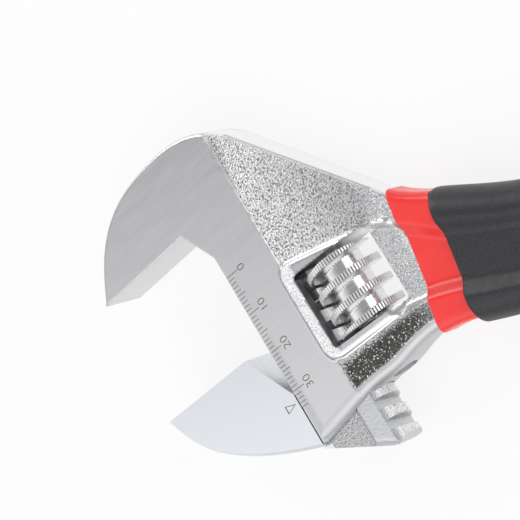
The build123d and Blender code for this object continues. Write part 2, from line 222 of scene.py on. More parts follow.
def arc_through(a: Sequence[float], b: Sequence[float], c: Sequence[float], step: float) -> Array:
    """Samples of the circle arc from a through b to c, the last point left out.

    Args:
        a: first point.
        b: point on the way.
        c: last point.
        step: spacing of the samples.

    Returns:
        The samples.
    """
    a, b, c = (np.asarray(v, float) for v in (a, b, c))
    m = 2 * np.array([b - a, c - a])
    centre = np.linalg.solve(m, np.array([b @ b - a @ a, c @ c - a @ a]))
    radius = np.linalg.norm(a - centre)
    spokes = np.stack([a, b, c]) - centre
    first, middle, last = np.arctan2(spokes[:, 1], spokes[:, 0])
    turn = (last - first) % (2 * math.pi)
    if (middle - first) % (2 * math.pi) > turn:
        turn -= 2 * math.pi
    count = max(2, int(abs(turn) * radius / step))
    angle = first + turn * np.arange(count) / count
    return centre + radius * np.stack([np.cos(angle), np.sin(angle)], axis=1)


def loop_distance(points: Array, loop: Array) -> tuple[Array, Array]:
    """Distance from points to a closed loop of segments, and the nearest segment.

    Args:
        points: points, one a row.
        loop: corners of the loop, one a row.

    Returns:
        The distances, negative inside the loop by the even-odd rule, and the indices of the nearest segments.
    """
    rows_at_once = 4000
    a, b = loop, np.roll(loop, -1, axis=0)
    run = b - a
    size = np.maximum((run * run).sum(1), 1e-12)
    dist, near, inside = [], [], []
    for chunk in np.array_split(points, max(1, len(points) // rows_at_once)):
        rel = chunk[:, None, :] - a[None]
        u = np.clip((rel * run).sum(2) / size, 0.0, 1.0)
        d = np.linalg.norm(rel - u[..., None] * run, axis=2)
        near.append(d.argmin(1))
        dist.append(d.min(1))
        above = a[None, :, 1] > chunk[:, None, 1]
        cross = above != (b[None, :, 1] > chunk[:, None, 1])
        with np.errstate(divide="ignore", invalid="ignore"):
            xs = run[:, 0] * (chunk[:, None, 1] - a[:, 1]) / run[:, 1] + a[:, 0]
        inside.append((cross & (chunk[:, None, 0] < xs)).sum(1) % 2 == 1)
    d = np.concatenate(dist)
    return np.where(np.concatenate(inside), -d, d), np.concatenate(near)


def rounded_loop(corners: Sequence[Sequence[float]], radius: float, parts: int = 8) -> Array:
    """Closed polygon whose corners are quadratic curves that start radius away from each corner.

    Args:
        corners: corners in order.
        radius: distance from a corner at which the curve starts.
        parts: samples on each corner.

    Returns:
        The loop.
    """
    p = np.asarray(corners, float)
    before, after = np.roll(p, 1, axis=0) - p, np.roll(p, -1, axis=0) - p
    a = p + radius * before / np.linalg.norm(before, axis=1)[:, None]
    c = p + radius * after / np.linalg.norm(after, axis=1)[:, None]
    u = np.linspace(0.0, 1.0, parts)[None, :, None]
    curve = (1 - u) ** 2 * a[:, None] + 2 * u * (1 - u) * p[:, None] + u**2 * c[:, None]
    return curve.reshape(-1, 2)


def make_mesh(name: str, verts: Array, faces: Sequence, smooth_angle: float = 35.0) -> bpy.types.Object:
    """New object from points in millimetres and faces, smooth below an edge angle.

    Args:
        name: name of the piece.
        verts: points in millimetres, one a row.
        faces: rows of vertex indices.
        smooth_angle: edges that turn by more than this many degrees stay sharp.

    Returns:
        The object, linked to the scene, with its place in its mesh.
    """
    mesh = bpy.data.meshes.new(name)
    rows = faces if isinstance(faces, list) else faces.tolist()
    mesh.from_pydata((np.asarray(verts) * MM).tolist(), [], rows)
    mesh.validate()
    mesh.update()
    shade(mesh, smooth_angle)
    obj = bpy.data.objects.new(name, mesh)
    bpy.context.scene.collection.objects.link(obj)
    return obj


def shade(mesh: bpy.types.Mesh, smooth_angle: float) -> None:
    """Smooth shading with sharp edges above an angle in degrees.

    Args:
        mesh: mesh to shade.
        smooth_angle: the angle.
    """
    mesh.shade_smooth()
    mesh.set_sharp_from_angle(angle=math.radians(smooth_angle))


def grid_faces(rows: int, columns: int, close_rows: bool = False, close_columns: bool = False) -> Array:
    """Quads of a grid of rows by columns points, wound so that row x column points outwards.

    Args:
        rows: points along the first parameter.
        columns: points along the second parameter.
        close_rows: join the last row to the first.
        close_columns: join the last column to the first.

    Returns:
        The quads as rows of indices.
    """
    i = np.arange(rows if close_rows else rows - 1)
    j = np.arange(columns if close_columns else columns - 1)
    a, b = np.meshgrid(i, j, indexing="ij")
    a2, b2 = (a + 1) % rows, (b + 1) % columns
    quads = np.stack([a * columns + b, a2 * columns + b, a2 * columns + b2, a * columns + b2], axis=-1)
    return quads.reshape(-1, 4)


def end_caps(rows: int, columns: int) -> list[list[int]]:
    """Two faces that close the first and the last row of a grid.

    Args:
        rows: points along the first parameter.
        columns: points along the second parameter.

    Returns:
        The faces as rows of indices.
    """
    last = (rows - 1) * columns
    return [list(range(columns)), list(range(last, last + columns))]


def cut_away(target: bpy.types.Object, cutters: Sequence[bpy.types.Object], smooth_angle: float) -> None:
    """Cuts closed solids out of a piece and applies the result to its mesh.

    Args:
        target: the piece.
        cutters: the solids, which are removed afterwards.
        smooth_angle: edges that turn by more than this many degrees stay sharp.
    """
    for cutter in cutters:
        modifier = target.modifiers.new(cutter.name, "BOOLEAN")
        modifier.operation, modifier.solver, modifier.object = "DIFFERENCE", "EXACT", cutter
    bpy.context.view_layer.update()
    graph = bpy.context.evaluated_depsgraph_get()
    mesh = bpy.data.meshes.new_from_object(target.evaluated_get(graph))
    target.modifiers.clear()
    old, target.data = target.data, mesh
    mesh.name = target.name
    bpy.data.meshes.remove(old)
    for cutter in cutters:
        data = cutter.data
        bpy.data.objects.remove(cutter)
        bpy.data.meshes.remove(data)
    shade(mesh, smooth_angle)


def face_out(mesh: bpy.types.Mesh) -> None:
    """Turns every face of a closed mesh outwards.

    Args:
        mesh: the mesh.
    """
    work = bmesh.new()
    work.from_mesh(mesh)
    bmesh.ops.recalc_face_normals(work, faces=work.faces)
    work.to_mesh(mesh)
    work.free()


def face_up(mesh: bpy.types.Mesh) -> None:
    """Turns the faces of a flat mesh to +Z.

    Args:
        mesh: the mesh.
    """
    if len(mesh.polygons) and mesh.polygons[0].normal.z < 0:
        mesh.flip_normals()
        mesh.update()


def points_of(mesh: bpy.types.Mesh) -> Array:
    """Vertex places of a mesh.

    Args:
        mesh: the mesh.

    Returns:
        The places in millimetres, one a row.
    """
    co = np.zeros(len(mesh.vertices) * 3, np.float32)
    mesh.vertices.foreach_get("co", co)
    return co.reshape(-1, 3).astype(float) / MM


def store_mask(mesh: bpy.types.Mesh, region: Region, share: Array) -> None:
    """Keeps a vertex mask on a mesh for its finish to read.

    Args:
        mesh: the mesh.
        region: which mask it is.
        share: 0..1 for each vertex.
    """
    layer = mesh.attributes.new(region.value, "FLOAT", "POINT")
    layer.data.foreach_set("value", np.ascontiguousarray(share, np.float32))


def dress(obj: bpy.types.Object, material: bpy.types.Material) -> None:
    """Puts one material on an object.

    Args:
        obj: the object.
        material: its material.
    """
    if obj.material_slots:
        for entry in obj.material_slots:
            entry.material = material
    else:
        obj.data.materials.append(material)


def place(obj: bpy.types.Object, rider: Rider, material: bpy.types.Material, slot: str, *nodes: str) -> None:
    """Dresses a new piece and makes it ride on its body in place of CAD nodes.

    Args:
        obj: the piece.
        rider: body that it moves with.
        material: its material.
        slot: the record's material slot; not used.
        nodes: CAD nodes that it stands for.
    """
    dress(obj, material)
    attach(obj, rider.value)
    if nodes:
        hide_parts(*nodes)
    LOG.info("%s rides on %s: %d faces", obj.name, rider.value, len(obj.data.polygons))


def keep(node: bpy.types.Object, material: bpy.types.Material) -> None:
    """Dresses a CAD solid that is shown as it is."""
    dress(node, material)
    LOG.info("%s keeps its solid: %d faces", node.name, len(node.data.polygons))


@dataclass(frozen=True)
class HeadPlan:
    """Plan coordinates of the head: t out to the jaw tips, s along the slide."""

    angle: float = 22.5
    jaw_mid: float = 21.4
    worm_t: float = -25.2

    @property
    def out(self) -> Array:
        """Unit vector from the throat to the jaw tips."""
        a = math.radians(self.angle)
        return np.array([-math.cos(a), -math.sin(a)])

    @property
    def slide(self) -> Array:
        """Unit vector along the slide, away from the fixed jaw."""
        a = math.radians(self.angle)
        return np.array([math.sin(a), -math.cos(a)])

    def at(self, t: Union[float, Array], s: Union[float, Array]) -> Array:
        """Row-frame plan point, or points, of (t, s).

        Args:
            t: distance out from the throat line.
            s: distance along the slide from the fixed jaw's face.

        Returns:
            The points, one a row.
        """
        t, s = np.broadcast_arrays(np.asarray(t, float), np.asarray(s, float))
        return (t[..., None] - self.jaw_mid) * self.out + s[..., None] * self.slide

    def local(self, xy: Array) -> tuple[Array, Array]:
        """(t, s) of row-frame plan points.

        Args:
            xy: points, one a row.

        Returns:
            The two coordinates.
        """
        return xy @ self.out + self.jaw_mid, xy @ self.slide

    def axis_points(self, t: float, radial: Array, turn: Array, s: Array) -> Array:
        """Points around an axis parallel to the slide, turn 0 pointing out to the jaw tips.

        Args:
            t: where the axis lies.
            radial: distances from the axis.
            turn: angles in radians, right-handed about the slide direction.
            s: places along the slide.

        Returns:
            Row-frame points, one a row.
        """
        xy = self.at(t + radial * np.cos(turn), s)
        return np.concatenate([xy.reshape(-1, 2), (-radial * np.sin(turn)).reshape(-1, 1)], axis=1)


PLAN = HeadPlan()


@dataclass(frozen=True)
class TangPlan:
    """Plan of the I-beam tang, which the forging ends in and both layers of the handle follow."""

    centre_y: float = -11.1
    half: float = 3.5
    web_half: float = 2.0
    half_width: float = 9.9
    arc_x: float = 204.0
    end_x: float = 214.0
    neck_top: Pair = (68.0, 7.29)
    upper: tuple[Pair, ...] = ((73.0, 4.6), (83.1, 2.3), (99.0, -0.4), (126.0, -1.6))
    lower: tuple[Pair, ...] = ((72.1, -27.3), (77.5, -24.8), (87.2, -22.8), (99.0, -21.6), (126.0, -20.7))
    web_upper: tuple[Pair, ...] = (
        (63.4, -1.9),
        (76.0, -3.9),
        (84.2, -6.0),
        (93.0, -6.4),
        (126.0, -6.7),
        (197.0, -6.7),
    )
    web_lower: tuple[Pair, ...] = (
        (69.9, -17.9),
        (77.0, -16.5),
        (93.0, -15.8),
        (126.0, -15.5),
        (197.0, -15.5),
    )
    web_tip: float = 201.4
    arc_step: float = 1.0
    line_step: float = 0.5

    def end_arc(self) -> list[Pair]:
        """Three points of the arc that ends the tang, from its lower to its upper edge."""
        low, high = self.centre_y - self.half_width, self.centre_y + self.half_width
        return [(self.arc_x, low), (self.end_x, self.centre_y), (self.arc_x, high)]

    def edges(self, x: Array) -> tuple[Array, Array]:
        """Upper and lower edge of the tang, by cubic curves through their stations.

        Args:
            x: places along the handle.

        Returns:
            The heights of the two edges at each x.
        """
        low_end, _, high_end = self.end_arc()
        upper = cubic_curve([self.neck_top, *self.upper, high_end], self.line_step)
        lower = cubic_curve([*self.lower, low_end], self.line_step)
        return np.interp(x, upper[:, 0], upper[:, 1]), np.interp(x, lower[:, 0], lower[:, 1])

    def web_lines(self, step: float) -> tuple[Array, Array]:
        """Upper and lower edge of the web's floor, from the window to the handle's end.

        Args:
            step: spacing of the samples.

        Returns:
            The two runs of points.
        """
        return cubic_curve(self.web_upper, step), cubic_curve(self.web_lower, step)

    def web_edges(self, x: Array) -> tuple[Array, Array]:
        """Heights of the two edges of the web's floor at each x."""
        upper, lower = self.web_lines(self.line_step)
        return np.interp(x, upper[:, 0], upper[:, 1]), np.interp(x, lower[:, 0], lower[:, 1])

    def web_loop(self, step: float) -> Array:
        """Closed loop of the web's floor: its two edges, joined round the handle's end by an arc.

        Args:
            step: spacing of the samples along the edges.

        Returns:
            The loop, one point a row.
        """
        upper, lower = self.web_lines(step)
        tip = (self.web_tip, self.centre_y)
        end = arc_through(self.web_upper[-1], tip, self.web_lower[-1], self.arc_step)
        return np.concatenate([upper, end, lower[::-1]])


TANG = TangPlan()


def round_cutter(
    name: str, t: float, size: Sequence[float], sides: int, flat: float = math.inf
) -> bpy.types.Object:
    """Closed round bar parallel to the slide, flattened above and below at a half height.

    Args:
        name: name of the cutter.
        t: where its axis lies.
        size: radius, start and end along the slide.
        sides: sides of the bar.
        flat: half height at which the bar is flattened.

    Returns:
        The cutter.
    """
    radius, start, end = size
    turn = np.linspace(0.0, 2 * math.pi, sides, endpoint=False)
    turns, places = np.meshgrid(turn, np.array([start, end]))
    verts = PLAN.axis_points(t, np.full_like(turns, radius), turns, places)
    verts[:, 2] = np.clip(verts[:, 2], -flat, flat)
    ring = np.arange(sides)
    after = (ring + 1) % sides
    quads = np.column_stack([ring, after, after + sides, ring + sides]).tolist()
    obj = make_mesh(name, verts, quads + [ring[::-1].tolist(), (ring + sides).tolist()])
    face_out(obj.data)
    return obj


class NodeBook:
    """Small helper that lays out one material's node tree."""

    def __init__(self, name: str) -> None:
        """Starts a material with one surface shader.

        Args:
            name: name of the material.
        """
        self.material = bpy.data.materials.new(name)
        self.material.use_nodes = True
        self.tree = self.material.node_tree
        self.shader = self.tree.nodes["Principled BSDF"]
        self.place = self.add("ShaderNodeTexCoord").outputs["Object"]

    def add(self, kind: str, **values: float) -> bpy.types.Node:
        """New node with some of its sockets set by name.

        Args:
            kind: Blender's node type.
            values: socket values, with spaces written as underscores.

        Returns:
            The node.
        """
        node = self.tree.nodes.new(kind)
        for key, value in values.items():
            node.inputs[key.replace("_", " ")].default_value = value
        return node

    def link(self, out: Socket, into: Socket) -> None:
        """Joins two sockets."""
        self.tree.links.new(out, into)

    def noise(
        self, scale: float, detail: float = 2.0, stretch: Optional[Sequence[float]] = None, turn: float = 0.0
    ) -> Socket:
        """Noise on object coordinates.

        Args:
            scale: waves per metre.
            detail: octaves.
            stretch: how much longer the waves are along each axis, or None.
            turn: turn of those axes about Z, in degrees.

        Returns:
            The noise factor socket.
        """
        node = self.add("ShaderNodeTexNoise", Scale=scale, Detail=detail)
        source = self.place
        if stretch is not None:
            mapping = self.add("ShaderNodeMapping")
            mapping.vector_type = "TEXTURE"
            mapping.inputs["Scale"].default_value = stretch
            mapping.inputs["Rotation"].default_value = (0.0, 0.0, math.radians(turn))
            self.link(source, mapping.inputs["Vector"])
            source = mapping.outputs["Vector"]
        self.link(source, node.inputs["Vector"])
        return node.outputs["Fac"]

    def cells(self, scale: float) -> Socket:
        """Distance to the nearest of scattered cell centres.

        Args:
            scale: cells per metre.

        Returns:
            The distance socket.
        """
        node = self.add("ShaderNodeTexVoronoi", Scale=scale)
        self.link(self.place, node.inputs["Vector"])
        return node.outputs["Distance"]

    def brushed(self) -> Socket:
        """Fine lines along the grinding direction: noise drawn out along the head's own axis.

        Returns:
            The noise factor socket.
        """
        return self.noise(1100.0, 3.0, stretch=(14.0, 1.0, 1.0), turn=PLAN.angle)

    def across(self, span_mm: Pair, first: float, second: float) -> Socket:
        """Value that changes with the distance out from the throat line.

        That distance is the place's dot product with the head's out direction.

        Args:
            span_mm: the two distances between which it changes.
            first: value up to the first distance.
            second: value from the second distance on.

        Returns:
            The value socket.
        """
        node = self.add("ShaderNodeVectorMath")
        node.operation = "DOT_PRODUCT"
        node.inputs[1].default_value = (*PLAN.out, 0.0)
        self.link(self.place, node.inputs[0])
        out = self.math("ADD", node.outputs["Value"], PLAN.jaw_mid * MM)
        return self.ramp(out, span_mm[0] * MM, span_mm[1] * MM, first, second)

    def mask(self, region: Region) -> Socket:
        """Vertex mask of the piece.

        Args:
            region: which mask.

        Returns:
            Its socket.
        """
        node = self.add("ShaderNodeAttribute")
        node.attribute_name = region.value
        return node.outputs["Fac"]

    def math(self, how: str, a: Union[float, Socket], b: Union[float, Socket]) -> Socket:
        """One arithmetic step on two sockets or numbers.

        Args:
            how: Blender's operation name.
            a: first socket or number.
            b: second socket or number.

        Returns:
            The result socket.
        """
        node = self.add("ShaderNodeMath")
        node.operation = how
        for value, socket in ((a, node.inputs[0]), (b, node.inputs[1])):
            if isinstance(value, (int, float)):
                socket.default_value = value
            else:
                self.link(value, socket)
        return node.outputs[0]

    def ramp(self, source: Socket, low: float, high: float, out_low: float, out_high: float) -> Socket:
        """Straight remapping of a socket.

        Args:
            source: socket to remap.
            low: value that gives out_low.
            high: value that gives out_high.
            out_low: first result.
            out_high: second result.

        Returns:
            The result socket.
        """
        node = self.add("ShaderNodeMapRange")
        for socket, value in zip(node.inputs[1:5], (low, high, out_low, out_high)):
            socket.default_value = value
        self.link(source, node.inputs["Value"])
        return node.outputs["Result"]

    def blend(self, share: Socket, a: Union[Colour, Socket], b: Union[Colour, Socket]) -> Socket:
        """Mix of two colours by a socket.

        Args:
            share: 0 gives a, 1 gives b.
            a: first colour, or its socket.
            b: second colour, or its socket.

        Returns:
            The colour socket.
        """
        node = self.add("ShaderNodeMix")
        node.data_type = "RGBA"
        for index, colour in ((6, a), (7, b)):
            if isinstance(colour, Socket):
                self.link(colour, node.inputs[index])
            else:
                node.inputs[index].default_value = (*colour, 1.0)
        self.link(share, node.inputs[0])
        return node.outputs[2]

    def clouded(self, noise: Socket, colour: Colour, dark: float) -> Socket:
        """Colour that a noise darkens.

        Args:
            noise: the noise.
            colour: colour on the noise's high side.
            dark: share of it that is left on the low side.

        Returns:
            The colour socket.
        """
        share = self.ramp(noise, *NOISE_SPAN, 0.0, 1.0)
        return self.blend(share, tuple(dark * c for c in colour), colour)

    def bump(self, height: Socket, depth_mm: float) -> None:
        """Adds relief to the surface shader, over any relief already there.

        Args:
            height: height socket, 0..1.
            depth_mm: depth of the relief.
        """
        node = self.add("ShaderNodeBump", Distance=depth_mm * MM, Strength=1.0)
        self.link(height, node.inputs["Height"])
        links = self.shader.inputs["Normal"].links
        if links:
            self.link(links[0].from_socket, node.inputs["Normal"])
        self.link(node.outputs["Normal"], self.shader.inputs["Normal"])


@dataclass(frozen=True)
class ForgedChrome:
    """Plated forging: satin where ground, sparkling grain where left as forged, with a painted highlight on
    its bead and top rim, painted shade in its pocket, on its low band and on its grain further in, and
    painted shadow on its window walls.
    """

    satin: Colour = (0.70, 0.70, 0.71)
    satin_dark: float = 0.95
    # Painted highlight: lighter colour of the boss's bead and the top rim band.
    bright: Colour = (0.92, 0.92, 0.93)
    flake: Colour = (1.0, 1.0, 1.0)
    # Painted shade: the grain's flakes darken to this colour from 18 to 38 mm behind the throat line.
    far_flake: Colour = (0.60, 0.60, 0.61)
    pit: Colour = (0.25, 0.25, 0.24)
    cast: Colour = (1.0, 1.0, 1.0)
    cast_pit: Colour = (0.6, 0.6, 0.6)
    # Painted shade in the pocket; the grain's flakes there stay bright.
    deep: Colour = (0.11, 0.11, 0.10)
    # Painted shadow on the window's inner walls.
    well: Colour = (0.08, 0.08, 0.09)
    # Painted shade along the lower edge band.
    low_band: Colour = (0.62, 0.62, 0.63)
    edge_mm: Pair = (-15.32, -15.26)
    fade_mm: Pair = (-18.0, -38.0)
    grain_mm: float = 0.46
    cell_mm: float = 0.414
    cell_share: float = 0.6
    cast_share: float = 0.35
    grain_depth: float = 0.55
    brush_depth: float = 0.003
    pit_span: Pair = (0.35, 0.50)
    cast_span: Pair = (0.30, 0.38)
    sparkle_span: Pair = (0.57, 0.66)
    roughness: Pair = (0.28, 0.35)
    bright_smoother: float = -0.08
    low_rougher: float = 0.16
    forged_smoother: float = -0.10

    def colour(self, book: NodeBook, forged: Socket, grain: Socket, brushed: Socket) -> Socket:
        """Base colour: the satin ground, with the colour of each mask laid over it in turn.

        Args:
            book: the material's nodes.
            forged: share of as-forged skin.
            grain: noise of the forged grain.
            brushed: noise of the brushed lines.

        Returns:
            The colour socket.
        """
        colour = book.clouded(brushed, self.satin, self.satin_dark)
        # Painted highlight on the boss's bead and the top rim band.
        colour = book.blend(book.mask(Region.BRIGHT), colour, self.bright)
        # Painted shade along the lower edge band.
        colour = book.blend(book.mask(Region.LOW), colour, self.low_band)
        # Painted shade: the grain's flakes darken towards the handle.
        flake = book.blend(book.across(self.fade_mm, 0.0, 1.0), self.flake, self.far_flake)
        specks = book.blend(book.ramp(grain, *self.pit_span, 0.0, 1.0), self.pit, flake)
        colour = book.blend(forged, colour, specks)
        pitted = book.blend(book.ramp(grain, *self.cast_span, 0.0, 1.0), self.cast_pit, self.cast)
        colour = book.blend(book.mask(Region.CAST), colour, pitted)
        # Painted shade in the pocket, with the grain's flakes left bright.
        sparkle = book.blend(book.ramp(grain, *self.sparkle_span, 0.0, 1.0), self.deep, self.flake)
        colour = book.blend(book.mask(Region.DEEP), colour, sparkle)
        # Painted shadow on the window's inner walls.
        return book.blend(book.mask(Region.WELL), colour, self.well)

    def material(self) -> bpy.types.Material:
        """Node material that reads the body's masks.

        Returns:
            The material.
        """
        book = NodeBook("forged_chrome")
        forged = book.math("MULTIPLY", book.mask(Region.FORGED), book.across(self.edge_mm, 1.0, 0.0))
        brushed = book.brushed()
        grain = book.noise(1.0 / (self.grain_mm * MM), 3.0)
        cells = book.cells(1.0 / (self.cell_mm * MM))
        book.link(self.colour(book, forged, grain, brushed), book.shader.inputs["Base Color"])
        book.shader.inputs["Metallic"].default_value = 1.0
        rough = book.ramp(brushed, *NOISE_SPAN, *self.roughness)
        bright, low, cast = (book.mask(region) for region in (Region.BRIGHT, Region.LOW, Region.CAST))
        steps = ((bright, self.bright_smoother), (low, self.low_rougher), (forged, self.forged_smoother))
        for share, step in steps:
            rough = book.math("ADD", rough, book.math("MULTIPLY", share, step))
        book.link(rough, book.shader.inputs["Roughness"])
        lumps = book.math("ADD", grain, book.math("MULTIPLY", cells, self.cell_share))
        cover = book.math("ADD", forged, book.math("MULTIPLY", cast, self.cast_share))
        book.bump(book.math("MULTIPLY", lumps, cover), self.grain_depth)
        book.bump(brushed, self.brush_depth)
        return book.material


@dataclass(frozen=True)
class PinSteel:
    """Plain turned steel of the pin and the spring, with a faint brushed grain."""

    colour: Colour = (0.72, 0.72, 0.73)
    dark: float = 0.95
    roughness: Pair = (0.33, 0.40)
    brush_depth: float = 0.003

    def material(self) -> bpy.types.Material:
        """Node material with brushed tone, roughness and relief.

        Returns:
            The material.
        """
        book = NodeBook("pin_steel")
        brushed = book.brushed()
        book.link(book.clouded(brushed, self.colour, self.dark), book.shader.inputs["Base Color"])
        book.shader.inputs["Metallic"].default_value = 1.0
        book.link(book.ramp(brushed, *NOISE_SPAN, *self.roughness), book.shader.inputs["Roughness"])
        book.bump(brushed, self.brush_depth)
        return book.material


@dataclass(frozen=True)
class JawChrome:
    """Movable jaw: satin ground blade, neck with a rough cast skin, smoother bar with rough rack crests."""

    blade: Colour = (0.80, 0.82, 0.845)
    blade_dark: float = 0.985
    neck: Colour = (0.62, 0.62, 0.62)
    bar: Colour = (0.66, 0.67, 0.69)
    pit: Colour = (0.36, 0.36, 0.36)
    crest: Colour = (0.90, 0.90, 0.89)
    blade_edge_mm: Pair = (0.05, 0.15)
    neck_edge_mm: Pair = (-11.7, -11.2)
    crest_edge_mm: Pair = (-18.7, -18.3)
    bar_skin: float = 0.28
    grain_scale: float = 2100.0
    grain_depth: float = 0.3
    brush_depth: float = 0.001
    pit_span: Pair = (0.48, 0.30)
    roughness: Pair = (0.26, 0.33)
    cast_rougher: float = 0.10

    def material(self) -> bpy.types.Material:
        """Node material that changes from ground to cast at the shoulder, and to smooth at the bar.

        Returns:
            The material.
        """
        book = NodeBook("ground_chrome")
        cast = book.across(self.blade_edge_mm, 1.0, 0.0)
        crest = book.across(self.crest_edge_mm, 1.0, 0.0)
        skinned = book.math("MAXIMUM", book.across(self.neck_edge_mm, self.bar_skin, 1.0), crest)
        brushed = book.brushed()
        grain = book.noise(self.grain_scale, 4.0)
        pits = book.math("MULTIPLY", book.ramp(grain, *self.pit_span, 0.0, 1.0), skinned)
        skin = book.blend(crest, book.blend(skinned, self.bar, self.neck), self.crest)
        skin = book.blend(pits, skin, self.pit)
        ground = book.clouded(brushed, self.blade, self.blade_dark)
        book.link(book.blend(cast, ground, skin), book.shader.inputs["Base Color"])
        book.shader.inputs["Metallic"].default_value = 1.0
        rough = book.ramp(brushed, *NOISE_SPAN, *self.roughness)
        rough = book.math("ADD", rough, book.math("MULTIPLY", cast, self.cast_rougher))
        book.link(rough, book.shader.inputs["Roughness"])
        cover = book.math("MULTIPLY", cast, skinned)
        book.bump(book.math("MULTIPLY", grain, cover), self.grain_depth)
        book.bump(brushed, self.brush_depth)
        return book.material


@dataclass(frozen=True)
class WormChrome:
    """Bright plating of the worm, with painted shade in the notches of its crest and a painted highlight on
    the crest.
    """

    bright: Colour = (0.86, 0.86, 0.86)
    dark: float = 0.9
    # The knurled crest is rougher, a real finish, and is also given a lighter colour: a painted highlight.
    crest: Colour = (0.98, 0.98, 0.98)
    # Painted shade in the knurl's notches.
    grease: Colour = (0.22, 0.21, 0.20)
    turning_scale: float = 1500.0
    turning_depth: float = 0.006
    roughness: Pair = (0.16, 0.26)
    crest_rougher: float = 0.25

    def material(self) -> bpy.types.Material:
        """Node material that reads the crest and notch masks, with fine turning lines round the axis.

        Returns:
            The material.
        """
        book = NodeBook("worm_chrome")
        turned = book.noise(self.turning_scale, 3.0, stretch=(1.0, 6.0, 6.0), turn=PLAN.angle - 90.0)
        crest = book.mask(Region.BRIGHT)
        # Painted highlight: lighter colour on the crest.
        tone = book.blend(crest, book.clouded(turned, self.bright, self.dark), self.crest)
        # Painted shade in the notches.
        tone = book.blend(book.mask(Region.NOTCH), tone, self.grease)
        book.link(tone, book.shader.inputs["Base Color"])
        book.shader.inputs["Metallic"].default_value = 1.0
        rough = book.ramp(turned, *NOISE_SPAN, *self.roughness)
        rough = book.math("ADD", rough, book.math("MULTIPLY", crest, self.crest_rougher))
        book.link(rough, book.shader.inputs["Roughness"])
        book.bump(turned, self.turning_depth)
        return book.material


@dataclass(frozen=True)
class GlossSleeve:
    """Bright red moulded sleeve with a soft gloss and a faint orange-peel surface."""

    deep: Colour = (0.96, 0.030, 0.025)
    light: Colour = (1.0, 0.040, 0.033)
    cloud_scale: float = 160.0
    gloss_scale: float = 420.0
    peel_scale: float = 700.0
    peel_depth: float = 0.004
    roughness: Pair = (0.26, 0.34)
    coat: float = 0.25
    coat_roughness: float = 0.14

    def material(self) -> bpy.types.Material:
        """Node material with a slight cloudiness and orange peel.

        Returns:
            The material.
        """
        book = NodeBook("red_sleeve")
        cloud = book.ramp(book.noise(self.cloud_scale, 3.0), *NOISE_SPAN, 0.0, 1.0)
        book.link(book.blend(cloud, self.deep, self.light), book.shader.inputs["Base Color"])
        gloss = book.ramp(book.noise(self.gloss_scale, 2.0), *NOISE_SPAN, *self.roughness)
        book.link(gloss, book.shader.inputs["Roughness"])
        book.shader.inputs["Coat Weight"].default_value = self.coat
        book.shader.inputs["Coat Roughness"].default_value = self.coat_roughness
        book.bump(book.noise(self.peel_scale, 2.0), self.peel_depth)
        return book.material


@dataclass(frozen=True)
class MatteGrip:
    """Charcoal moulded grip with a fine sandy grain."""

    dark: Colour = (0.015, 0.015, 0.017)
    light: Colour = (0.030, 0.030, 0.034)
    grain_scale: float = 2600.0
    grain_span: Pair = (0.35, 0.65)
    grain_depth: float = 0.05
    gloss_scale: float = 300.0
    roughness: Pair = (0.38, 0.48)

    def material(self) -> bpy.types.Material:
        """Node material with grain in colour, roughness and relief.

        Returns:
            The material.
        """
        book = NodeBook("black_grip")
        grain = book.noise(self.grain_scale, 2.0)
        share = book.ramp(grain, *self.grain_span, 0.0, 1.0)
        book.link(book.blend(share, self.dark, self.light), book.shader.inputs["Base Color"])
        gloss = book.ramp(book.noise(self.gloss_scale, 2.0), *NOISE_SPAN, *self.roughness)
        book.link(gloss, book.shader.inputs["Roughness"])
        book.bump(grain, self.grain_depth)
        return book.material


@dataclass(frozen=True)
class ScaleInk:
    """Brown-grey bottom of the etched scale marks."""

    colour: Colour = (0.16, 0.12, 0.09)
    dark: float = 0.7
    grain_scale: float = 2200.0
    roughness: float = 0.6
    metallic: float = 0.2

    def material(self) -> bpy.types.Material:
        """Node material with an uneven tone.

        Returns:
            The material.
        """
        book = NodeBook("scale_ink")
        tone = book.clouded(book.noise(self.grain_scale, 2.0), self.colour, self.dark)
        book.link(tone, book.shader.inputs["Base Color"])
        book.shader.inputs["Roughness"].default_value = self.roughness
        book.shader.inputs["Metallic"].default_value = self.metallic
        return book.material


@dataclass(frozen=True)
class SkinPlan:
    """Spans, in millimetres, over which the forging's skins and bands come in.

    A skin is at 0 at a span's first number and at 1 at its second. Each span is measured from the boss's
    outline, the plan outline (edge), the window or the web, or is a range of one coordinate (t, s, x). A
    share is how far a skin comes in, or fades, at most.
    """

    behind: float = 0.6
    off_bead: Pair = (0.1, 0.9)
    top_s: Pair = (30.0, 28.0)
    top_edge: Pair = (0.4, 1.2)
    low_edge: Pair = (2.2, 2.9)
    fade_x: Pair = (63.0, 72.0)
    fade_share: float = 0.7
    web: Pair = (0.9, -0.2)
    web_share: float = 0.5
    web_x: float = 80.0
    pocket_boss: Pair = (0.6, 2.0)
    pocket_edge: Pair = (2.2, 3.0)
    pocket_lead: float = 0.6
    pocket_t: Pair = (-44.0, -36.0)
    pocket_s: Pair = (43.0, 45.0)
    # The bead and rim spans below place the painted highlight.
    bead: Pair = (1.2, 0.3)
    bead_shift: float = 0.2
    bead_t: Pair = (-16.5, -17.5)
    rim: Pair = (1.6, 0.7)
    rim_s: Pair = (30.0, 26.0)
    rim_lead: float = 0.5
    strip: Pair = (0.15, -0.5)
    strip_t: Pair = (-18.6, -17.2)
    strip_gap: float = 0.05
    # The well spans below place the painted shadow on the window's walls.
    well: Pair = (0.12, 0.02)
    well_side: float = 1.0
    well_t: Pair = (-36.0, -26.0)
    well_end_t: float = -18.0
    well_end_share: float = 0.55
    # The band spans below place the painted shade along the lower edge.
    band_edge: Pair = (3.2, 2.0)
    band_s: Pair = (30.0, 34.0)
    band_t: Pair = (0.0, -1.2)


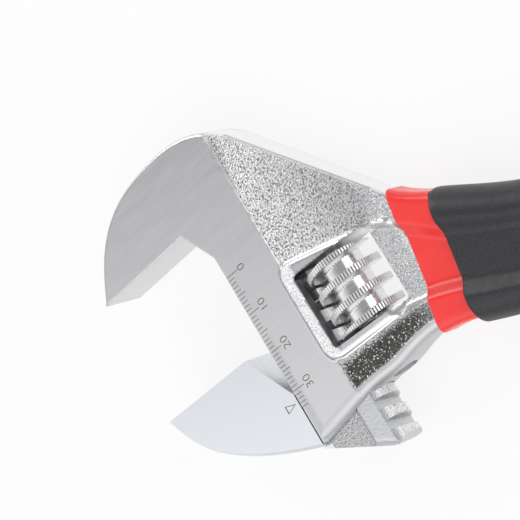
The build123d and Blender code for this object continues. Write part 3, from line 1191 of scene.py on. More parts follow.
@dataclass
class Forging:
    """The one-piece body: fixed jaw, head, boss round the worm window, and the I-beam tang."""

    tip: float = 37.5
    tip_blunt: float = 0.3
    corner: float = 5.3
    facet: float = 9.2
    slide_end: float = 58.0
    low_head: tuple[Pair, ...] = ((-6.0, 57.0), (-12.0, 55.9), (-20.5, 54.6))
    low_neck: Pair = (65.1, -31.8)
    tang_leave: Pair = (-1.0, -0.01)
    neck_meet: Pair = (-0.875, 0.484)
    apex: Pair = (32.9, 26.7)
    nose: tuple[Pair, ...] = (
        (-13.4, -16.1),
        (-6.0, -18.6),
        (5.8, -19.2),
        (16.5, -17.7),
        (25.8, -13.5),
        (31.3, -8.7),
    )
    jaw_half: float = 6.2
    forged_half: float = 5.9
    ground_edge: float = -15.1
    ground_run: float = 0.22
    soft_run: float = 1.1
    soft_s: Pair = (43.0, 46.5)
    slope_end: float = -46.0
    rim: Triple = (4.1, 0.024, 0.18)
    rim_run: float = 46.0
    rim_recover: float = 0.4
    rim_soft: float = 0.5
    pocket_depth: float = 0.45
    boss_top: Triple = (7.1, -13.5, 0.092)
    boss: tuple[Pair, ...] = (
        (-13.5, 22.4),
        (-15.6, 20.7),
        (-27.0, 23.0),
        (-44.0, 26.8),
        (-44.0, 46.2),
        (-37.8, 44.9),
        (-16.0, 45.4),
        (-13.5, 43.4),
    )
    boss_round: float = 2.2
    boss_reach: float = 12.0
    boss_side: Pair = (0.55, -0.75)
    web_step: float = 1.5
    web_soft: float = 0.6
    spans: SkinPlan = SkinPlan()
    waves: tuple[tuple[float, float, int], ...] = ((0.06, 1.5, 3), (0.05, 0.8, 5))
    window_t: Pair = (-37.2, -17.0)
    window_s: Pair = (24.6, 43.0)
    window_round: float = 1.2
    window_parts: int = 7
    channel: tuple[float, float, float, float] = (5.35, -1.8, 90.0, 4.75)
    channel_tip: tuple[float, float, float, float] = (5.35, -8.0, -1.0, 3.55)
    channel_t: float = -14.3
    channel_sides: int = 96
    neck_half: float = 3.4
    neck_s: Pair = (12.2, 90.0)
    neck_out: float = 3.0
    pin_bore: Triple = (2.44, 18.76, 45.0)
    pin_seat: Triple = (3.04, 43.96, 66.0)
    pin_sides: int = 64
    step: float = 0.45
    fine_to: float = 86.0
    coarse: Pair = (3.0, 1.2)
    ring_angles: tuple[float, ...] = (18, 36, 54, 72, 90)
    ring_keep: float = 0.93
    ring_clear: float = 1.05
    least_round: float = 0.3
    window_clear: float = 0.25
    row_s: Pair = (-20.0, 60.0)
    collars: tuple[float, ...] = (0.55, 0.3, 0.05, -0.2, -0.45, -0.75)
    collar_clear: Pair = (-1.1, 0.9)
    weld: float = 1e-5
    smooth_angle: float = 40.0
    grip_round: float = 0.25
    slide_round: float = 0.25
    low_round: float = 2.2
    tang_round: float = 1.2
    top_round: float = 0.7
    nose_round: float = 0.8

    def outline(self) -> tuple[Array, Array]:
        """Closed plan outline and the edge rounding that belongs to each of its segments.

        Returns:
            The loop, one point a row, and the radius of each segment.
        """
        at, step, tip, blunt = PLAN.at, self.step, self.tip, self.tip_blunt
        end = TANG.end_arc()
        lower = [at(0, self.slide_end), *(at(*p) for p in self.low_head), self.low_neck, *TANG.lower, end[0]]
        upper = [end[2], *TANG.upper[::-1], TANG.neck_top]
        nose = [self.apex, *(at(*p) for p in self.nose), at(tip, -blunt)]
        grip_face = [at(tip, -blunt), at(tip - blunt, 0), at(self.corner, 0)]
        slide_face = [at(self.corner, 0), at(0, self.facet), at(0, self.slide_end)]
        runs = [
            (straight(grip_face, step), self.grip_round),
            (straight(slide_face, step), self.slide_round),
            (cubic_curve(lower, step), self.low_round),
            (arc_through(*end, TANG.arc_step), self.tang_round),
            (cubic_curve(upper, step, self.tang_leave, self.neck_meet), self.tang_round),
            (straight([TANG.neck_top, self.apex], step), self.top_round),
            (cubic_curve(nose, step), self.nose_round),
        ]
        return np.concatenate([p for p, _ in runs]), np.concatenate([np.full(len(p), q) for p, q in runs])

    def window(self) -> Array:
        """Closed loop of the worm window.

        Returns:
            The loop in the row frame, one point a row.
        """
        (t0, t1), (s0, s1) = self.window_t, self.window_s
        corners = [(t0, s0), (t1, s0), (t1, s1), (t0, s1)]
        loop = rounded_loop(corners, self.window_round, self.window_parts)
        loop = straight(np.concatenate([loop, loop[:1]]), self.step)
        return PLAN.at(loop[:, 0], loop[:, 1])

    def boss_distance(self, xy: Array) -> Array:
        """Distance from the boss's outline at each plan point, negative on the boss."""
        return loop_distance(np.stack(PLAN.local(xy), axis=1), rounded_loop(self.boss, self.boss_round))[0]

    def web_distance(self, xy: Array) -> Array:
        """Distance from the floor between the tang's flanges at each plan point, negative on it."""
        return loop_distance(xy, TANG.web_loop(self.web_step))[0]

    def pocket(self, xy: Array, edge: Array) -> Array:
        """Share of the shallow pocket between the boss's lower side and the rounded lower edge.

        Args:
            xy: plan points.
            edge: distance of each from the outline.

        Returns:
            0..1 at each point.
        """
        spans = self.spans
        t, s = PLAN.local(xy)
        off_boss = smoothstep(*spans.pocket_boss, self.boss_distance(xy))
        off_edge = smoothstep(*spans.pocket_edge, edge)
        along = smoothstep(self.ground_edge, self.ground_edge - spans.pocket_lead, t)
        along = along * smoothstep(*spans.pocket_t, t)
        return off_boss * off_edge * along * smoothstep(*spans.pocket_s, s)

    def forged_face(self, xy: Array) -> Array:
        """Half thickness of the as-forged face, which slopes to the tang and falls towards the top rim.

        Args:
            xy: plan points.

        Returns:
            The half thickness at each point.
        """
        t, _ = PLAN.local(xy)
        fall = (self.forged_half - TANG.half) / (self.ground_edge - self.slope_end)
        forged = np.maximum(self.forged_half + fall * (t - self.ground_edge), TANG.half)
        start, end = np.array(self.apex), np.array(TANG.neck_top)
        line = (end - start) / np.linalg.norm(end - start)
        along = (xy - start) @ line
        inward = (xy - start) @ np.array([line[1], -line[0]])
        at_rim, lower, rise = self.rim
        back_up = self.rim_recover * np.maximum(along - self.rim_run, 0.0)
        return soft_min(forged, at_rim - lower * along + rise * inward + back_up, self.rim_soft)

    def height(self, xy: Array, edge: Array, radius: Array) -> Array:
        """Half thickness of the forging over its plan.

        The ground flats stand above the as-forged face, out from a line parallel to the slide; the boss rises
        round the window with an eased side and a leaning top; the web is sunk between the flanges with
        sloping walls; and near the outline the height falls along a quarter circle of the edge's radius.

        Args:
            xy: plan points.
            edge: distance of each from the outline.
            radius: rounding of the nearest edge.

        Returns:
            The half thickness at each point.
        """
        t, s = PLAN.local(xy)
        forged = self.forged_face(xy) - self.pocket_depth * self.pocket(xy, edge)
        run = self.ground_run + self.soft_run * smoothstep(*self.soft_s, s)
        share = smoothstep(0.0, 1.0, (t - self.ground_edge) / run + 1.0)
        base = forged + (self.jaw_half - forged) * share
        crest, crest_t, crest_fall = self.boss_top
        raised = crest + crest_fall * (t - crest_t)
        base = base + (raised - base) * smoothstep(*self.boss_side, self.boss_distance(xy))
        base = soft_min(base, TANG.web_half + np.maximum(self.web_distance(xy), 0.0), self.web_soft)
        drop = np.clip(radius - edge, 0.0, radius)
        return base - (radius - np.sqrt(np.maximum(radius**2 - drop**2, 0.0)))

    def skin(self, xy: Array, edge: Array) -> Array:
        """Share of as-forged skin over the plan: behind the ground flats, off the boss's bead and the edges.

        Args:
            xy: plan points.
            edge: distance of each from the outline.

        Returns:
            0..1 at each point.
        """
        spans = self.spans
        t, s = PLAN.local(xy)
        behind = smoothstep(self.ground_edge + spans.behind, self.ground_edge, t)
        off_bead = smoothstep(*spans.off_bead, self.boss_distance(xy))
        top_side = smoothstep(*spans.top_s, s)
        off_edge = top_side * smoothstep(*spans.top_edge, edge)
        off_edge = off_edge + (1 - top_side) * smoothstep(*spans.low_edge, edge)
        fade = 1.0 - spans.fade_share * smoothstep(*spans.fade_x, xy[:, 0]) * top_side
        web = spans.web_share * smoothstep(*spans.web, self.web_distance(xy)) * (xy[:, 0] < spans.web_x)
        return np.maximum(behind * off_bead * off_edge * fade, web)

    def edge_rings(self, loop: Array, radii: Array) -> Array:
        """Plan points under the edge rounding, at even angles of its quarter circle.

        Args:
            loop: plan outline.
            radii: rounding of each of its segments.

        Returns:
            The points that no other part of the outline comes much closer to.
        """
        normal = np.roll(loop, -1, axis=0) - np.roll(loop, 1, axis=0)
        normal = np.stack([-normal[:, 1], normal[:, 0]], axis=1) / np.linalg.norm(normal, axis=1)[:, None]
        area = 0.5 * np.sum(loop[:, 0] * np.roll(loop[:, 1], -1) - loop[:, 1] * np.roll(loop[:, 0], -1))
        inset = (1.0 - np.cos(np.radians(self.ring_angles)))[:, None] * radii
        rings = (loop + np.sign(area) * normal * inset[..., None]).reshape(-1, 2)
        return rings[loop_distance(rings, loop)[0] < -self.ring_keep * inset.ravel()]

    def guide_rows(self) -> Array:
        """Plan points along both sides of the ground flats' step, and in rings down the boss's side.

        Returns:
            The points, one a row.
        """
        s = np.arange(*self.row_s, self.step)
        rows = [PLAN.at(self.ground_edge, s), PLAN.at(self.ground_edge - self.ground_run, s)]
        corners = np.asarray(self.boss, float)
        spokes = corners - corners.mean(0)
        for offset in self.collars:
            ring = rounded_loop(corners + spokes * (offset / self.boss_reach), self.boss_round)
            ring = straight(np.concatenate([ring, ring[:1]]), self.step)
            rows.append(PLAN.at(ring[:, 0], ring[:, 1]))
        return np.concatenate(rows)

    def grid(self, loop: Array) -> Array:
        """Staggered grid of plan points, coarser in the handle, clear of the guide rows.

        Args:
            loop: plan outline.

        Returns:
            The points, one a row.
        """
        lo, hi = loop.min(0), loop.max(0)
        gx, gy = np.meshgrid(np.arange(lo[0], self.fine_to, self.step), np.arange(lo[1], hi[1], self.step))
        gx = gx + 0.5 * self.step * (np.arange(gx.shape[0]) % 2)[:, None]
        wide, high = self.coarse
        hx, hy = np.meshgrid(np.arange(self.fine_to, hi[0], wide), np.arange(lo[1], hi[1], high))
        grid = np.concatenate([np.stack([gx.ravel(), gy.ravel()], 1), np.stack([hx.ravel(), hy.ravel()], 1)])
        t, _ = PLAN.local(grid)
        d_boss = self.boss_distance(grid)
        off_step = np.abs(t - self.ground_edge + self.ground_run / 2) > self.step
        off_collars = (d_boss > self.collar_clear[1]) | (d_boss < self.collar_clear[0])
        return grid[off_step & off_collars]

    def points(self, loop: Array, radii: Array, window: Array) -> Array:
        """Plan points inside the outline and outside the window.

        Args:
            loop: plan outline.
            radii: rounding of each of its segments.
            window: loop of the worm window.

        Returns:
            The points, one a row.
        """
        inner = np.concatenate([self.guide_rows(), self.grid(loop)])
        signed, near = loop_distance(inner, loop)
        inside = signed < -self.ring_clear * np.maximum(radii[near], self.least_round)
        outside = loop_distance(inner, window)[0] > self.window_clear
        return np.concatenate([self.edge_rings(loop, radii), inner[inside & outside]])

    def triangles(self, loop: Array, radii: Array, window: Array) -> tuple[Array, Array]:
        """Constrained Delaunay triangulation of the plan between the outline and the window.

        Args:
            loop: plan outline.
            radii: rounding of each of its segments.
            window: loop of the worm window.

        Returns:
            The plan points, and the triangles as rows of indices, counter-clockwise.
        """
        plan = np.concatenate([loop, window, self.points(loop, radii, window)])
        n, w = len(loop), len(window)
        edges = [(i, (i + 1) % n) for i in range(n)] + [(n + i, n + (i + 1) % w) for i in range(w)]
        out = delaunay_2d_cdt([Vector(p) for p in plan.tolist()], edges, [], 0, self.weld)
        flat = np.array([tuple(v) for v in out[0]])
        faces = np.array([f for f in out[2] if len(f) == 3])
        middle = flat[faces].mean(1)
        faces = faces[(loop_distance(middle, loop)[0] < 0) & (loop_distance(middle, window)[0] > 0)]
        first, second = flat[faces[:, 1]] - flat[faces[:, 0]], flat[faces[:, 2]] - flat[faces[:, 0]]
        turned = first[:, 0] * second[:, 1] - first[:, 1] * second[:, 0] < 0
        faces[turned] = faces[turned][:, ::-1]
        return flat, faces

    def build(self) -> bpy.types.Object:
        """Closed mesh of the forging with its cuts.

        Front and back are one triangulated plan raised to plus and minus the half thickness; walls join the
        two along the outline and along the window; the rack channel and the pin's bores are then cut away.

        Returns:
            The piece.
        """
        loop, radii = self.outline()
        flat, faces = self.triangles(loop, radii, self.window())
        signed, near = loop_distance(flat, loop)
        edge = np.abs(signed)
        x, y = flat[:, 0], flat[:, 1]
        relief = sum(depth * value_noise(x, y, wave, seed) for depth, wave, seed in self.waves)
        top = self.height(flat, edge, radii[near]) + self.skin(flat, edge) * relief
        verts = np.concatenate([np.column_stack([flat, top]), np.column_stack([flat, -top])])
        back = faces[:, ::-1] + len(flat)
        quads = self.walls(faces, len(flat))
        obj = make_mesh("wrench_body", verts, faces.tolist() + back.tolist() + quads, self.smooth_angle)
        cut_away(obj, self.cutters(), self.smooth_angle)
        self.paint(obj.data, loop)
        return obj

    def walls(self, faces: Array, count: int) -> list:
        """Quads that join the front and back along every open border of the plan.

        Args:
            faces: triangles of the front.
            count: number of plan points.

        Returns:
            The quads.
        """
        edges = np.concatenate([faces[:, [0, 1]], faces[:, [1, 2]], faces[:, [2, 0]]])
        code = edges[:, 0].astype(np.int64) * count + edges[:, 1]
        back = edges[:, 1].astype(np.int64) * count + edges[:, 0]
        border = edges[~np.isin(code, back)]
        first, second = border[:, 0], border[:, 1]
        return np.column_stack([second, first, first + count, second + count]).tolist()

    def cutters(self) -> list[bpy.types.Object]:
        """Solids of the rack channel, its narrower end, the neck slot, the pin's bore and its head's seat.

        Returns:
            The cutters.
        """
        solids = []
        for name, (*size, flat) in (("channel", self.channel), ("channel_tip", self.channel_tip)):
            solids.append(round_cutter(name, self.channel_t, size, self.channel_sides, flat))
        solids.append(self.neck_cutter())
        for name, size in (("pin_bore", self.pin_bore), ("pin_seat", self.pin_seat)):
            solids.append(round_cutter(name, PLAN.worm_t, size, self.pin_sides))
        return solids

    def neck_cutter(self) -> bpy.types.Object:
        """Block that cuts the neck slot from the slide face into the channel.

        Returns:
            The cutter.
        """
        t0, t1, (s0, s1) = self.channel_t, self.neck_out, self.neck_s
        corners = PLAN.at(np.array([t0, t1, t1, t0]), np.array([s0, s0, s1, s1]))
        layers = [np.column_stack([corners, np.full(4, z)]) for z in (-self.neck_half, self.neck_half)]
        faces = [(0, 1, 2, 3), (7, 6, 5, 4), (0, 4, 5, 1), (1, 5, 6, 2), (2, 6, 7, 3), (3, 7, 4, 0)]
        obj = make_mesh("neck", np.concatenate(layers), faces)
        face_out(obj.data)
        return obj

    def paint(self, mesh: bpy.types.Mesh, loop: Array) -> None:
        """Masks of as-forged skin and the cast strip, and of painted light: highlight on the bead and top
        rim, shade in the pocket and on the low band, shadow on the window walls, by place.

        Args:
            mesh: mesh of the body.
            loop: plan outline.
        """
        spans = self.spans
        xy = points_of(mesh)[:, :2]
        edge = np.abs(loop_distance(xy, loop)[0])
        t, s = PLAN.local(xy)
        d_boss = self.boss_distance(xy)
        d_window = loop_distance(xy, self.window())[0]
        # Painted highlight: the boss's bead and the top rim band.
        bead = smoothstep(*spans.bead, np.abs(d_boss + spans.bead_shift)) * smoothstep(*spans.bead_t, t)
        rim = smoothstep(*spans.rim, edge) * smoothstep(*spans.rim_s, s)
        rim = rim * smoothstep(self.ground_edge, self.ground_edge - spans.rim_lead, t)
        strip = smoothstep(*spans.strip, d_boss) * smoothstep(*spans.strip_t, t)
        # Painted shadow on the window walls: on the upper wall, full towards the jaws and fading towards the
        # handle; on the end wall at the jaws, a 0.55 share.
        on_upper_wall = s < self.window_s[0] + spans.well_side
        end_wall = spans.well_end_share * (t > spans.well_end_t)
        dark = np.where(on_upper_wall, smoothstep(*spans.well_t, t), end_wall)
        # Painted shade: a band along the lower edge.
        low_shade_band = smoothstep(*spans.band_edge, edge) * smoothstep(*spans.band_s, s)
        store_mask(mesh, Region.FORGED, self.skin(xy, edge))
        store_mask(mesh, Region.BRIGHT, np.clip(np.maximum(bead, rim), 0.0, 1.0))
        # Painted shade in the pocket.
        store_mask(mesh, Region.DEEP, self.pocket(xy, edge))
        store_mask(mesh, Region.CAST, strip * (d_window > spans.strip_gap))
        store_mask(mesh, Region.WELL, smoothstep(*spans.well, np.abs(d_window)) * dark)
        store_mask(mesh, Region.LOW, low_shade_band * smoothstep(*spans.band_t, t))

    def add(self) -> None:
        """Builds the body and dresses it, in place of its solid."""
        place(self.build(), Rider.FRAME, ForgedChrome().material(), "forged_chrome", "body")


@dataclass
class ScaleMarks:
    """Millimetre scale along the slide edge and the index triangle on the movable jaw."""

    zero_s: float = 14.75
    face_z: float = 6.2
    proud: float = 0.012
    last: int = 34
    width: float = 0.15
    edge_t: float = -0.35
    lengths: Triple = (2.2, 3.0, 3.9)
    labels: tuple[int, ...] = (0, 10, 20, 30)
    label_t: float = -5.5
    label_size: float = 3.2
    label_thin: float = 0.05
    index_t: Pair = (0.95, 4.3)
    index_s: Pair = (47.3, 0.98)
    index_line: float = 0.24

    def ticks(self) -> bpy.types.Object:
        """Thin bars, one a millimetre, longer at fives and tens, from the slide edge inwards.

        Returns:
            The piece.
        """
        k = np.arange(self.last + 1)
        short, middle, most = self.lengths
        far = -np.where(k % 10 == 0, most, np.where(k % 5 == 0, middle, short))
        near = np.full(len(k), self.edge_t)
        t = np.stack([near, far, far, near], axis=1)
        s = self.zero_s + k[:, None] + self.width / 2 * np.array([-1, -1, 1, 1])
        xy = PLAN.at(t, s).reshape(-1, 2)
        verts = np.column_stack([xy, np.full(len(xy), self.face_z + self.proud)])
        obj = make_mesh("scale_ticks", verts, np.arange(len(xy)).reshape(-1, 4))
        face_up(obj.data)
        return obj

    def label(self, value: int) -> bpy.types.Object:
        """Number beside a long tick, its top towards the slide edge.

        Args:
            value: the number.

        Returns:
            The piece.
        """
        curve = bpy.data.curves.new(f"scale_{value}", "FONT")
        curve.body, curve.size = str(value), self.label_size
        curve.align_x, curve.align_y, curve.offset = "CENTER", "CENTER", -self.label_thin
        text = bpy.data.objects.new(f"scale_{value}", curve)
        bpy.context.scene.collection.objects.link(text)
        bpy.context.view_layer.update()
        mesh = bpy.data.meshes.new_from_object(text.evaluated_get(bpy.context.evaluated_depsgraph_get()))
        bpy.data.objects.remove(text)
        flat = points_of(mesh) * MM
        centre = PLAN.at(self.label_t, self.zero_s + value)
        xy = centre - flat[:, :1] * PLAN.slide + flat[:, 1:2] * PLAN.out
        verts = np.column_stack([xy, np.full(len(xy), self.face_z + self.proud)]) * MM
        mesh.vertices.foreach_set("co", verts.astype(np.float32).ravel())
        mesh.update()
        obj = bpy.data.objects.new(f"scale_{value}", mesh)
        bpy.context.scene.collection.objects.link(obj)
        face_up(mesh)
        return obj

    def index(self) -> bpy.types.Object:
        """Small outlined triangle on the movable jaw that points at the scale.

        Returns:
            The piece.
        """
        (tip, base), (middle, half) = self.index_t, self.index_s
        outer = np.array([[tip, 0.0], [base, -half], [base, half]])
        centre = outer.mean(0)
        inner = centre + (outer - centre) * (1.0 - self.index_line)
        ts = np.concatenate([outer, inner])
        xy = PLAN.at(ts[:, 0], middle + ts[:, 1])
        verts = np.column_stack([xy, np.full(len(xy), self.face_z + self.proud)])
        obj = make_mesh("scale_index", verts, [(0, 1, 4, 3), (1, 2, 5, 4), (2, 0, 3, 5)])
        face_up(obj.data)
        return obj

    def add(self) -> None:
        """Builds the marks and dresses them: the scale rides on the frame, the index on the jaw."""
        ink = ScaleInk().material()
        place(self.ticks(), Rider.FRAME, ink, "forged_chrome")
        for value in self.labels:
            place(self.label(value), Rider.FRAME, ink, "forged_chrome")
        place(self.index(), Rider.JAW, ink, "ground_chrome")


@dataclass
class WormScrew:
    """Thumb-turned worm: right-handed single-start thread with a knurled crest, bored and counterbored."""

    start: float = 26.1
    length: float = 16.1
    pitch: float = 5.0
    phase: float = 23.2
    outer: float = 8.3
    root: float = 5.0
    crest: float = 1.4
    base: float = 2.5
    flank_ease: float = 0.35
    crest_span: Pair = (0.90, 0.97)
    bore: float = 2.48
    counterbore: Pair = (4.1, 6.6)
    knurls: int = 72
    knurl_depth: float = 0.32
    knurl_power: float = 2.5
    around: int = 576
    along: int = 150
    smooth_angle: float = 38.0

    def radius(self, turn: Array, s: Array) -> Array:
        """Radius of the thread: a rounded trapezoid of the distance to the helix.

        Args:
            turn: angle about the slide direction.
            s: place along the slide.

        Returns:
            The radius.
        """
        helix = self.phase + self.pitch * turn / (2 * math.pi)
        off = (s - helix + self.pitch / 2) % self.pitch - self.pitch / 2
        flank = np.clip((self.base / 2 - np.abs(off)) / ((self.base - self.crest) / 2), 0.0, 1.0)
        rounded = self.flank_ease * smoothstep(0.0, 1.0, flank) + (1 - self.flank_ease) * flank
        return self.root + (self.outer - self.root) * rounded

    def on_crest(self, turn: Array, s: Array) -> Array:
        """Share of the thread's crest, 0..1, from the height above its root."""
        return smoothstep(*self.crest_span, (self.radius(turn, s) - self.root) / (self.outer - self.root))

    def notch(self, turn: Array, s: Array) -> Array:
        """Depth share of the knurl: a power of a rectified cosine round the axis, on the crest alone."""
        return self.on_crest(turn, s) * np.maximum(np.cos(self.knurls * turn), 0.0) ** self.knurl_power

    def build(self) -> bpy.types.Object:
        """Closed mesh: for each angle, out along one end, over the thread, and back through the bore.

        Returns:
            The piece.
        """
        end = self.start + self.length
        turn = np.linspace(0.0, 2 * math.pi, self.around, endpoint=False)
        turns, places = np.meshgrid(turn, np.linspace(self.start, end, self.along), indexing="ij")
        notch = self.notch(turns, places)
        body = self.radius(turns, places) - self.knurl_depth * notch
        wide, deep = self.counterbore
        inner_r = np.array([wide, wide, self.bore, self.bore])
        inner_s = np.array([end, end - deep, end - deep, self.start])
        tail = (self.around, len(inner_r))
        r = np.concatenate([body, np.broadcast_to(inner_r, tail)], axis=1)
        s = np.concatenate([places, np.broadcast_to(inner_s, tail)], axis=1)
        verts = PLAN.axis_points(PLAN.worm_t, r, np.broadcast_to(turn[:, None], r.shape), s)
        obj = make_mesh("worm_screw", verts, grid_faces(*r.shape, True, True), self.smooth_angle)
        face_out(obj.data)
        # Masks of the painted shade in the notches and the painted highlight on the crest.
        for region, share in ((Region.NOTCH, notch), (Region.BRIGHT, self.on_crest(turns, places))):
            store_mask(obj.data, region, np.concatenate([share, np.zeros(tail)], axis=1).ravel())
        return obj

    def add(self) -> None:
        """Builds the worm and dresses it, in place of its solid."""
        place(self.build(), Rider.WORM, WormChrome().material(), "worm_chrome", "worm")


@dataclass
class CoilSpring:
    """Small wire spring in the worm's counterbore."""

    start: float = 35.7
    end: float = 42.9
    radius: float = 3.2
    wire: float = 0.4
    turns: int = 3
    per_turn: int = 48
    sides: int = 12
    smooth_angle: float = 50.0

    def build(self) -> bpy.types.Object:
        """Tube: a small circle carried along a helix, capped at both ends.

        Returns:
            The piece.
        """
        count, sides = self.per_turn * self.turns + 1, self.sides
        whole = 2 * math.pi * self.turns
        a, b = np.meshgrid(
            np.linspace(0.0, whole, count),
            np.linspace(0.0, 2 * math.pi, sides, endpoint=False),
            indexing="ij",
        )
        rise = (self.end - self.start - 2 * self.wire) / whole
        r = self.radius + self.wire * np.cos(b)
        s = self.start + self.wire + rise * a + self.wire * np.sin(b)
        verts = PLAN.axis_points(PLAN.worm_t, r, a, s)
        faces = grid_faces(count, sides, False, True).tolist() + end_caps(count, sides)
        obj = make_mesh("coil_spring", verts, faces, self.smooth_angle)
        face_out(obj.data)
        return obj

    def add(self, steel: bpy.types.Material) -> None:
        """Builds the spring and dresses it in the pin's steel, in place of its solid."""
        place(self.build(), Rider.FRAME, steel, "spring_steel", "worm_spring")


@dataclass
class HandleSkins:
    """The two moulded layers on the tang: a red sleeve that follows its flanges, and a black outer grip."""

    lean: float = 0.185
    lean_y: float = 3.9
    lean_fade: Pair = (92.0, 130.0)
    lean_low_y: float = -24.0
    side_parts: int = 6
    corner_parts: int = 8
    face_parts: int = 64
    sleeve: float = 1.0
    sleeve_span: Pair = (72.05, 212.0)
    sleeve_round: float = 2.2
    sleeve_flat: float = 0.2
    sleeve_lip: Pair = (0.15, 0.4)
    sleeve_near: tuple[float, ...] = (0.0, 0.06, 0.18, 0.4)
    sleeve_fine: tuple[float, float, int] = (0.7, 92.0, 44)
    sleeve_coarse: tuple[float, int] = (95.0, 24)
    sleeve_angle: float = 50.0
    layer_gap: float = 0.02
    web_thin: float = 0.6
    web_inset: float = 0.5
    web_wall: Pair = (-2.6, 0.8)
    grip_start: float = 81.8
    grip_end: float = 240.0
    grip_flat: Pair = (1.0, 3.2)
    grip_rows: int = 170
    grip_mean: float = 28.0
    grip_round: float = 0.88
    grip_dip: Pair = (0.60, 0.30)
    grip_step: float = 0.25
    grip_angle: float = 40.0
    roll_angles: tuple[float, ...] = (0, 15, 30, 45, 60, 75)
    lip_depth: float = 0.9
    roll_depth: float = 3.0
    hollow_end: float = 206.0
    hollow_rows: int = 40
    hang: Pair = (228.5, 4.5)
    hang_rim: tuple[float, float, int] = (5.2, 7.6, 10)
    hang_waist: tuple[float, int] = (4.6, 5)
    hang_reach: float = 12.0
    hang_flare: float = 1.6
    hang_flare_z: Pair = (5.0, 7.8)
    hang_flare_power: float = 1.5
    hang_sides: int = 72
    stations: tuple[tuple[float, ...], ...] = (
        (78.0, -10.3, 30.2, 12.4, 2.0),
        (86.0, -10.6, 29.0, 12.6, 1.9),
        (99.0, -11.1, 26.4, 13.4, 1.6),
        (126.0, -11.1, 25.9, 14.4, 1.1),
        (171.0, -11.1, 28.8, 15.6, 0.9),
        (209.0, -11.1, 31.2, 15.6, 0.8),
        (231.0, -11.1, 27.2, 13.6, 0.4),
        (240.0, -11.1, 15.0, 8.6, 0.2),
    )

    def ring(self) -> Array:
        """Unit pattern of a rounded rectangle, one row a point: corner signs (2) and arc direction (2).

        A point of a section is sign x (half size - radius) + direction x radius, along each of its two axes.

        Returns:
            The pattern, counter-clockwise, of shape (points, 4).
        """
        side = np.linspace(-1.0, 1.0, self.side_parts + 1)[:-1]
        turn = np.linspace(0.0, math.pi / 2, self.corner_parts + 1)[:-1]
        flat = np.linspace(1.0, -1.0, self.face_parts + 1)[:-1]
        one = np.ones_like
        right = np.stack([one(side), side, one(side), 0 * side], axis=1)
        corner = np.stack([one(turn), one(turn), np.cos(turn), np.sin(turn)], axis=1)
        top = np.stack([flat, one(flat), 0 * flat, one(flat)], axis=1)
        corner2 = np.stack([-one(turn), one(turn), -np.sin(turn), np.cos(turn)], axis=1)
        half = np.concatenate([right, corner, top, corner2])
        return np.concatenate([half, -half])

    def leaned(self, x: Array, y: Union[float, Array]) -> Array:
        """x moved back along the leaning front, less and less towards the handle's end.

        Args:
            x: stations, shape (stations, 1).
            y: heights of the points, shape (stations, points), or one height for all.

        Returns:
            x of each point.
        """
        return x + self.lean * (self.lean_y - y) * (1.0 - smoothstep(*self.lean_fade, x))

    def flanged_section(self, x: Array, grow: Array) -> Array:
        """Sections of the flanged tang moved out by grow: rounded rectangles with a sunk web on both faces.

        Args:
            x: stations along the upper edge.
            grow: outward move at each station.

        Returns:
            Points of shape (stations, points, 3).
        """
        pattern = self.ring()
        stations, grow = x[:, None], grow[:, None]
        top, _ = TANG.edges(stations)
        _, low = TANG.edges(self.leaned(stations, self.lean_low_y))
        top, low, high = top + grow, low - grow, TANG.half + grow
        r = np.minimum(self.sleeve_round, high - self.sleeve_flat)
        y = (top + low) / 2 + pattern[:, 0] * ((top - low) / 2 - r) + pattern[:, 2] * r
        z = pattern[:, 1] * (high - r) + pattern[:, 3] * r
        xs = self.leaned(stations, y)
        w_top, w_low = TANG.web_edges(xs)
        inset = self.web_inset * grow
        gap = np.minimum(w_top - inset - y, y - w_low - inset)
        depth = TANG.half - TANG.web_half + self.web_thin * grow
        sunk = depth * smoothstep(*self.web_wall, gap)
        z = z - np.sign(z) * sunk * (np.abs(pattern[:, 1]) >= 1.0)
        return np.stack([xs, y, z], axis=2)

    def build_sleeve(self) -> bpy.types.Object:
        """Red sleeve: an outer and an inner tube of flanged sections, joined round both ends.

        Returns:
            The piece.
        """
        start, end = self.sleeve_span
        first, last, rows = self.sleeve_fine
        x = np.concatenate(
            [
                start + np.array(self.sleeve_near),
                np.linspace(start + first, last, rows),
                np.linspace(self.sleeve_coarse[0], end, self.sleeve_coarse[1]),
            ]
        )
        depth, run = self.sleeve_lip
        ahead = 1 - np.clip((x - start) / run, 0, 1)
        lip = depth * (1 - np.sqrt(1 - ahead**2))
        outer = self.flanged_section(x, self.sleeve - lip)
        inner = self.flanged_section(x[::-1], np.full(len(x), self.layer_gap))
        rings = np.concatenate([outer, inner])
        faces = grid_faces(len(rings), rings.shape[1], True, True)
        obj = make_mesh("red_sleeve", rings.reshape(-1, 3), faces, self.sleeve_angle)
        face_out(obj.data)
        return obj

    def grip_values(self, x: Array) -> Array:
        """Centre, width, height and dip of the outer grip, by cubic curves through its stations.

        Args:
            x: places along the handle.

        Returns:
            The four values, one a row, at each x.
        """
        table = np.asarray(self.stations, float)
        columns = []
        for k in range(1, table.shape[1]):
            knots = table[:, [0, k]]
            curve = np.vstack([cubic_curve(knots, self.grip_step), knots[-1]])
            columns.append(np.interp(x, curve[:, 0], curve[:, 1]))
        return np.stack(columns)

    def grip_section(self, x: Array, inset: Array) -> Array:
        """Sections of the outer grip: full round sides, two flanges and a shallow valley between them.

        Args:
            x: stations along the upper edge.
            inset: inward move at each station.

        Returns:
            Points of shape (stations, points, 3).
        """
        pattern = self.ring()
        values = self.grip_values(x + 0.5 * self.lean * self.grip_mean)
        centre, width, height, dip = (v[:, None] for v in values)
        wide, high = width / 2 - inset[:, None], height / 2 - inset[:, None]
        r = self.grip_round * high
        y = pattern[:, 0] * (wide - r) + pattern[:, 2] * r
        z = pattern[:, 1] * (high - r) + pattern[:, 3] * r
        sunk = dip * smoothstep(*self.grip_dip, np.abs(y) / wide)
        z = z - np.sign(z) * sunk * (np.abs(pattern[:, 1]) >= 1.0)
        y = y + centre
        return np.stack([self.leaned(x[:, None], y), y, z], axis=2)

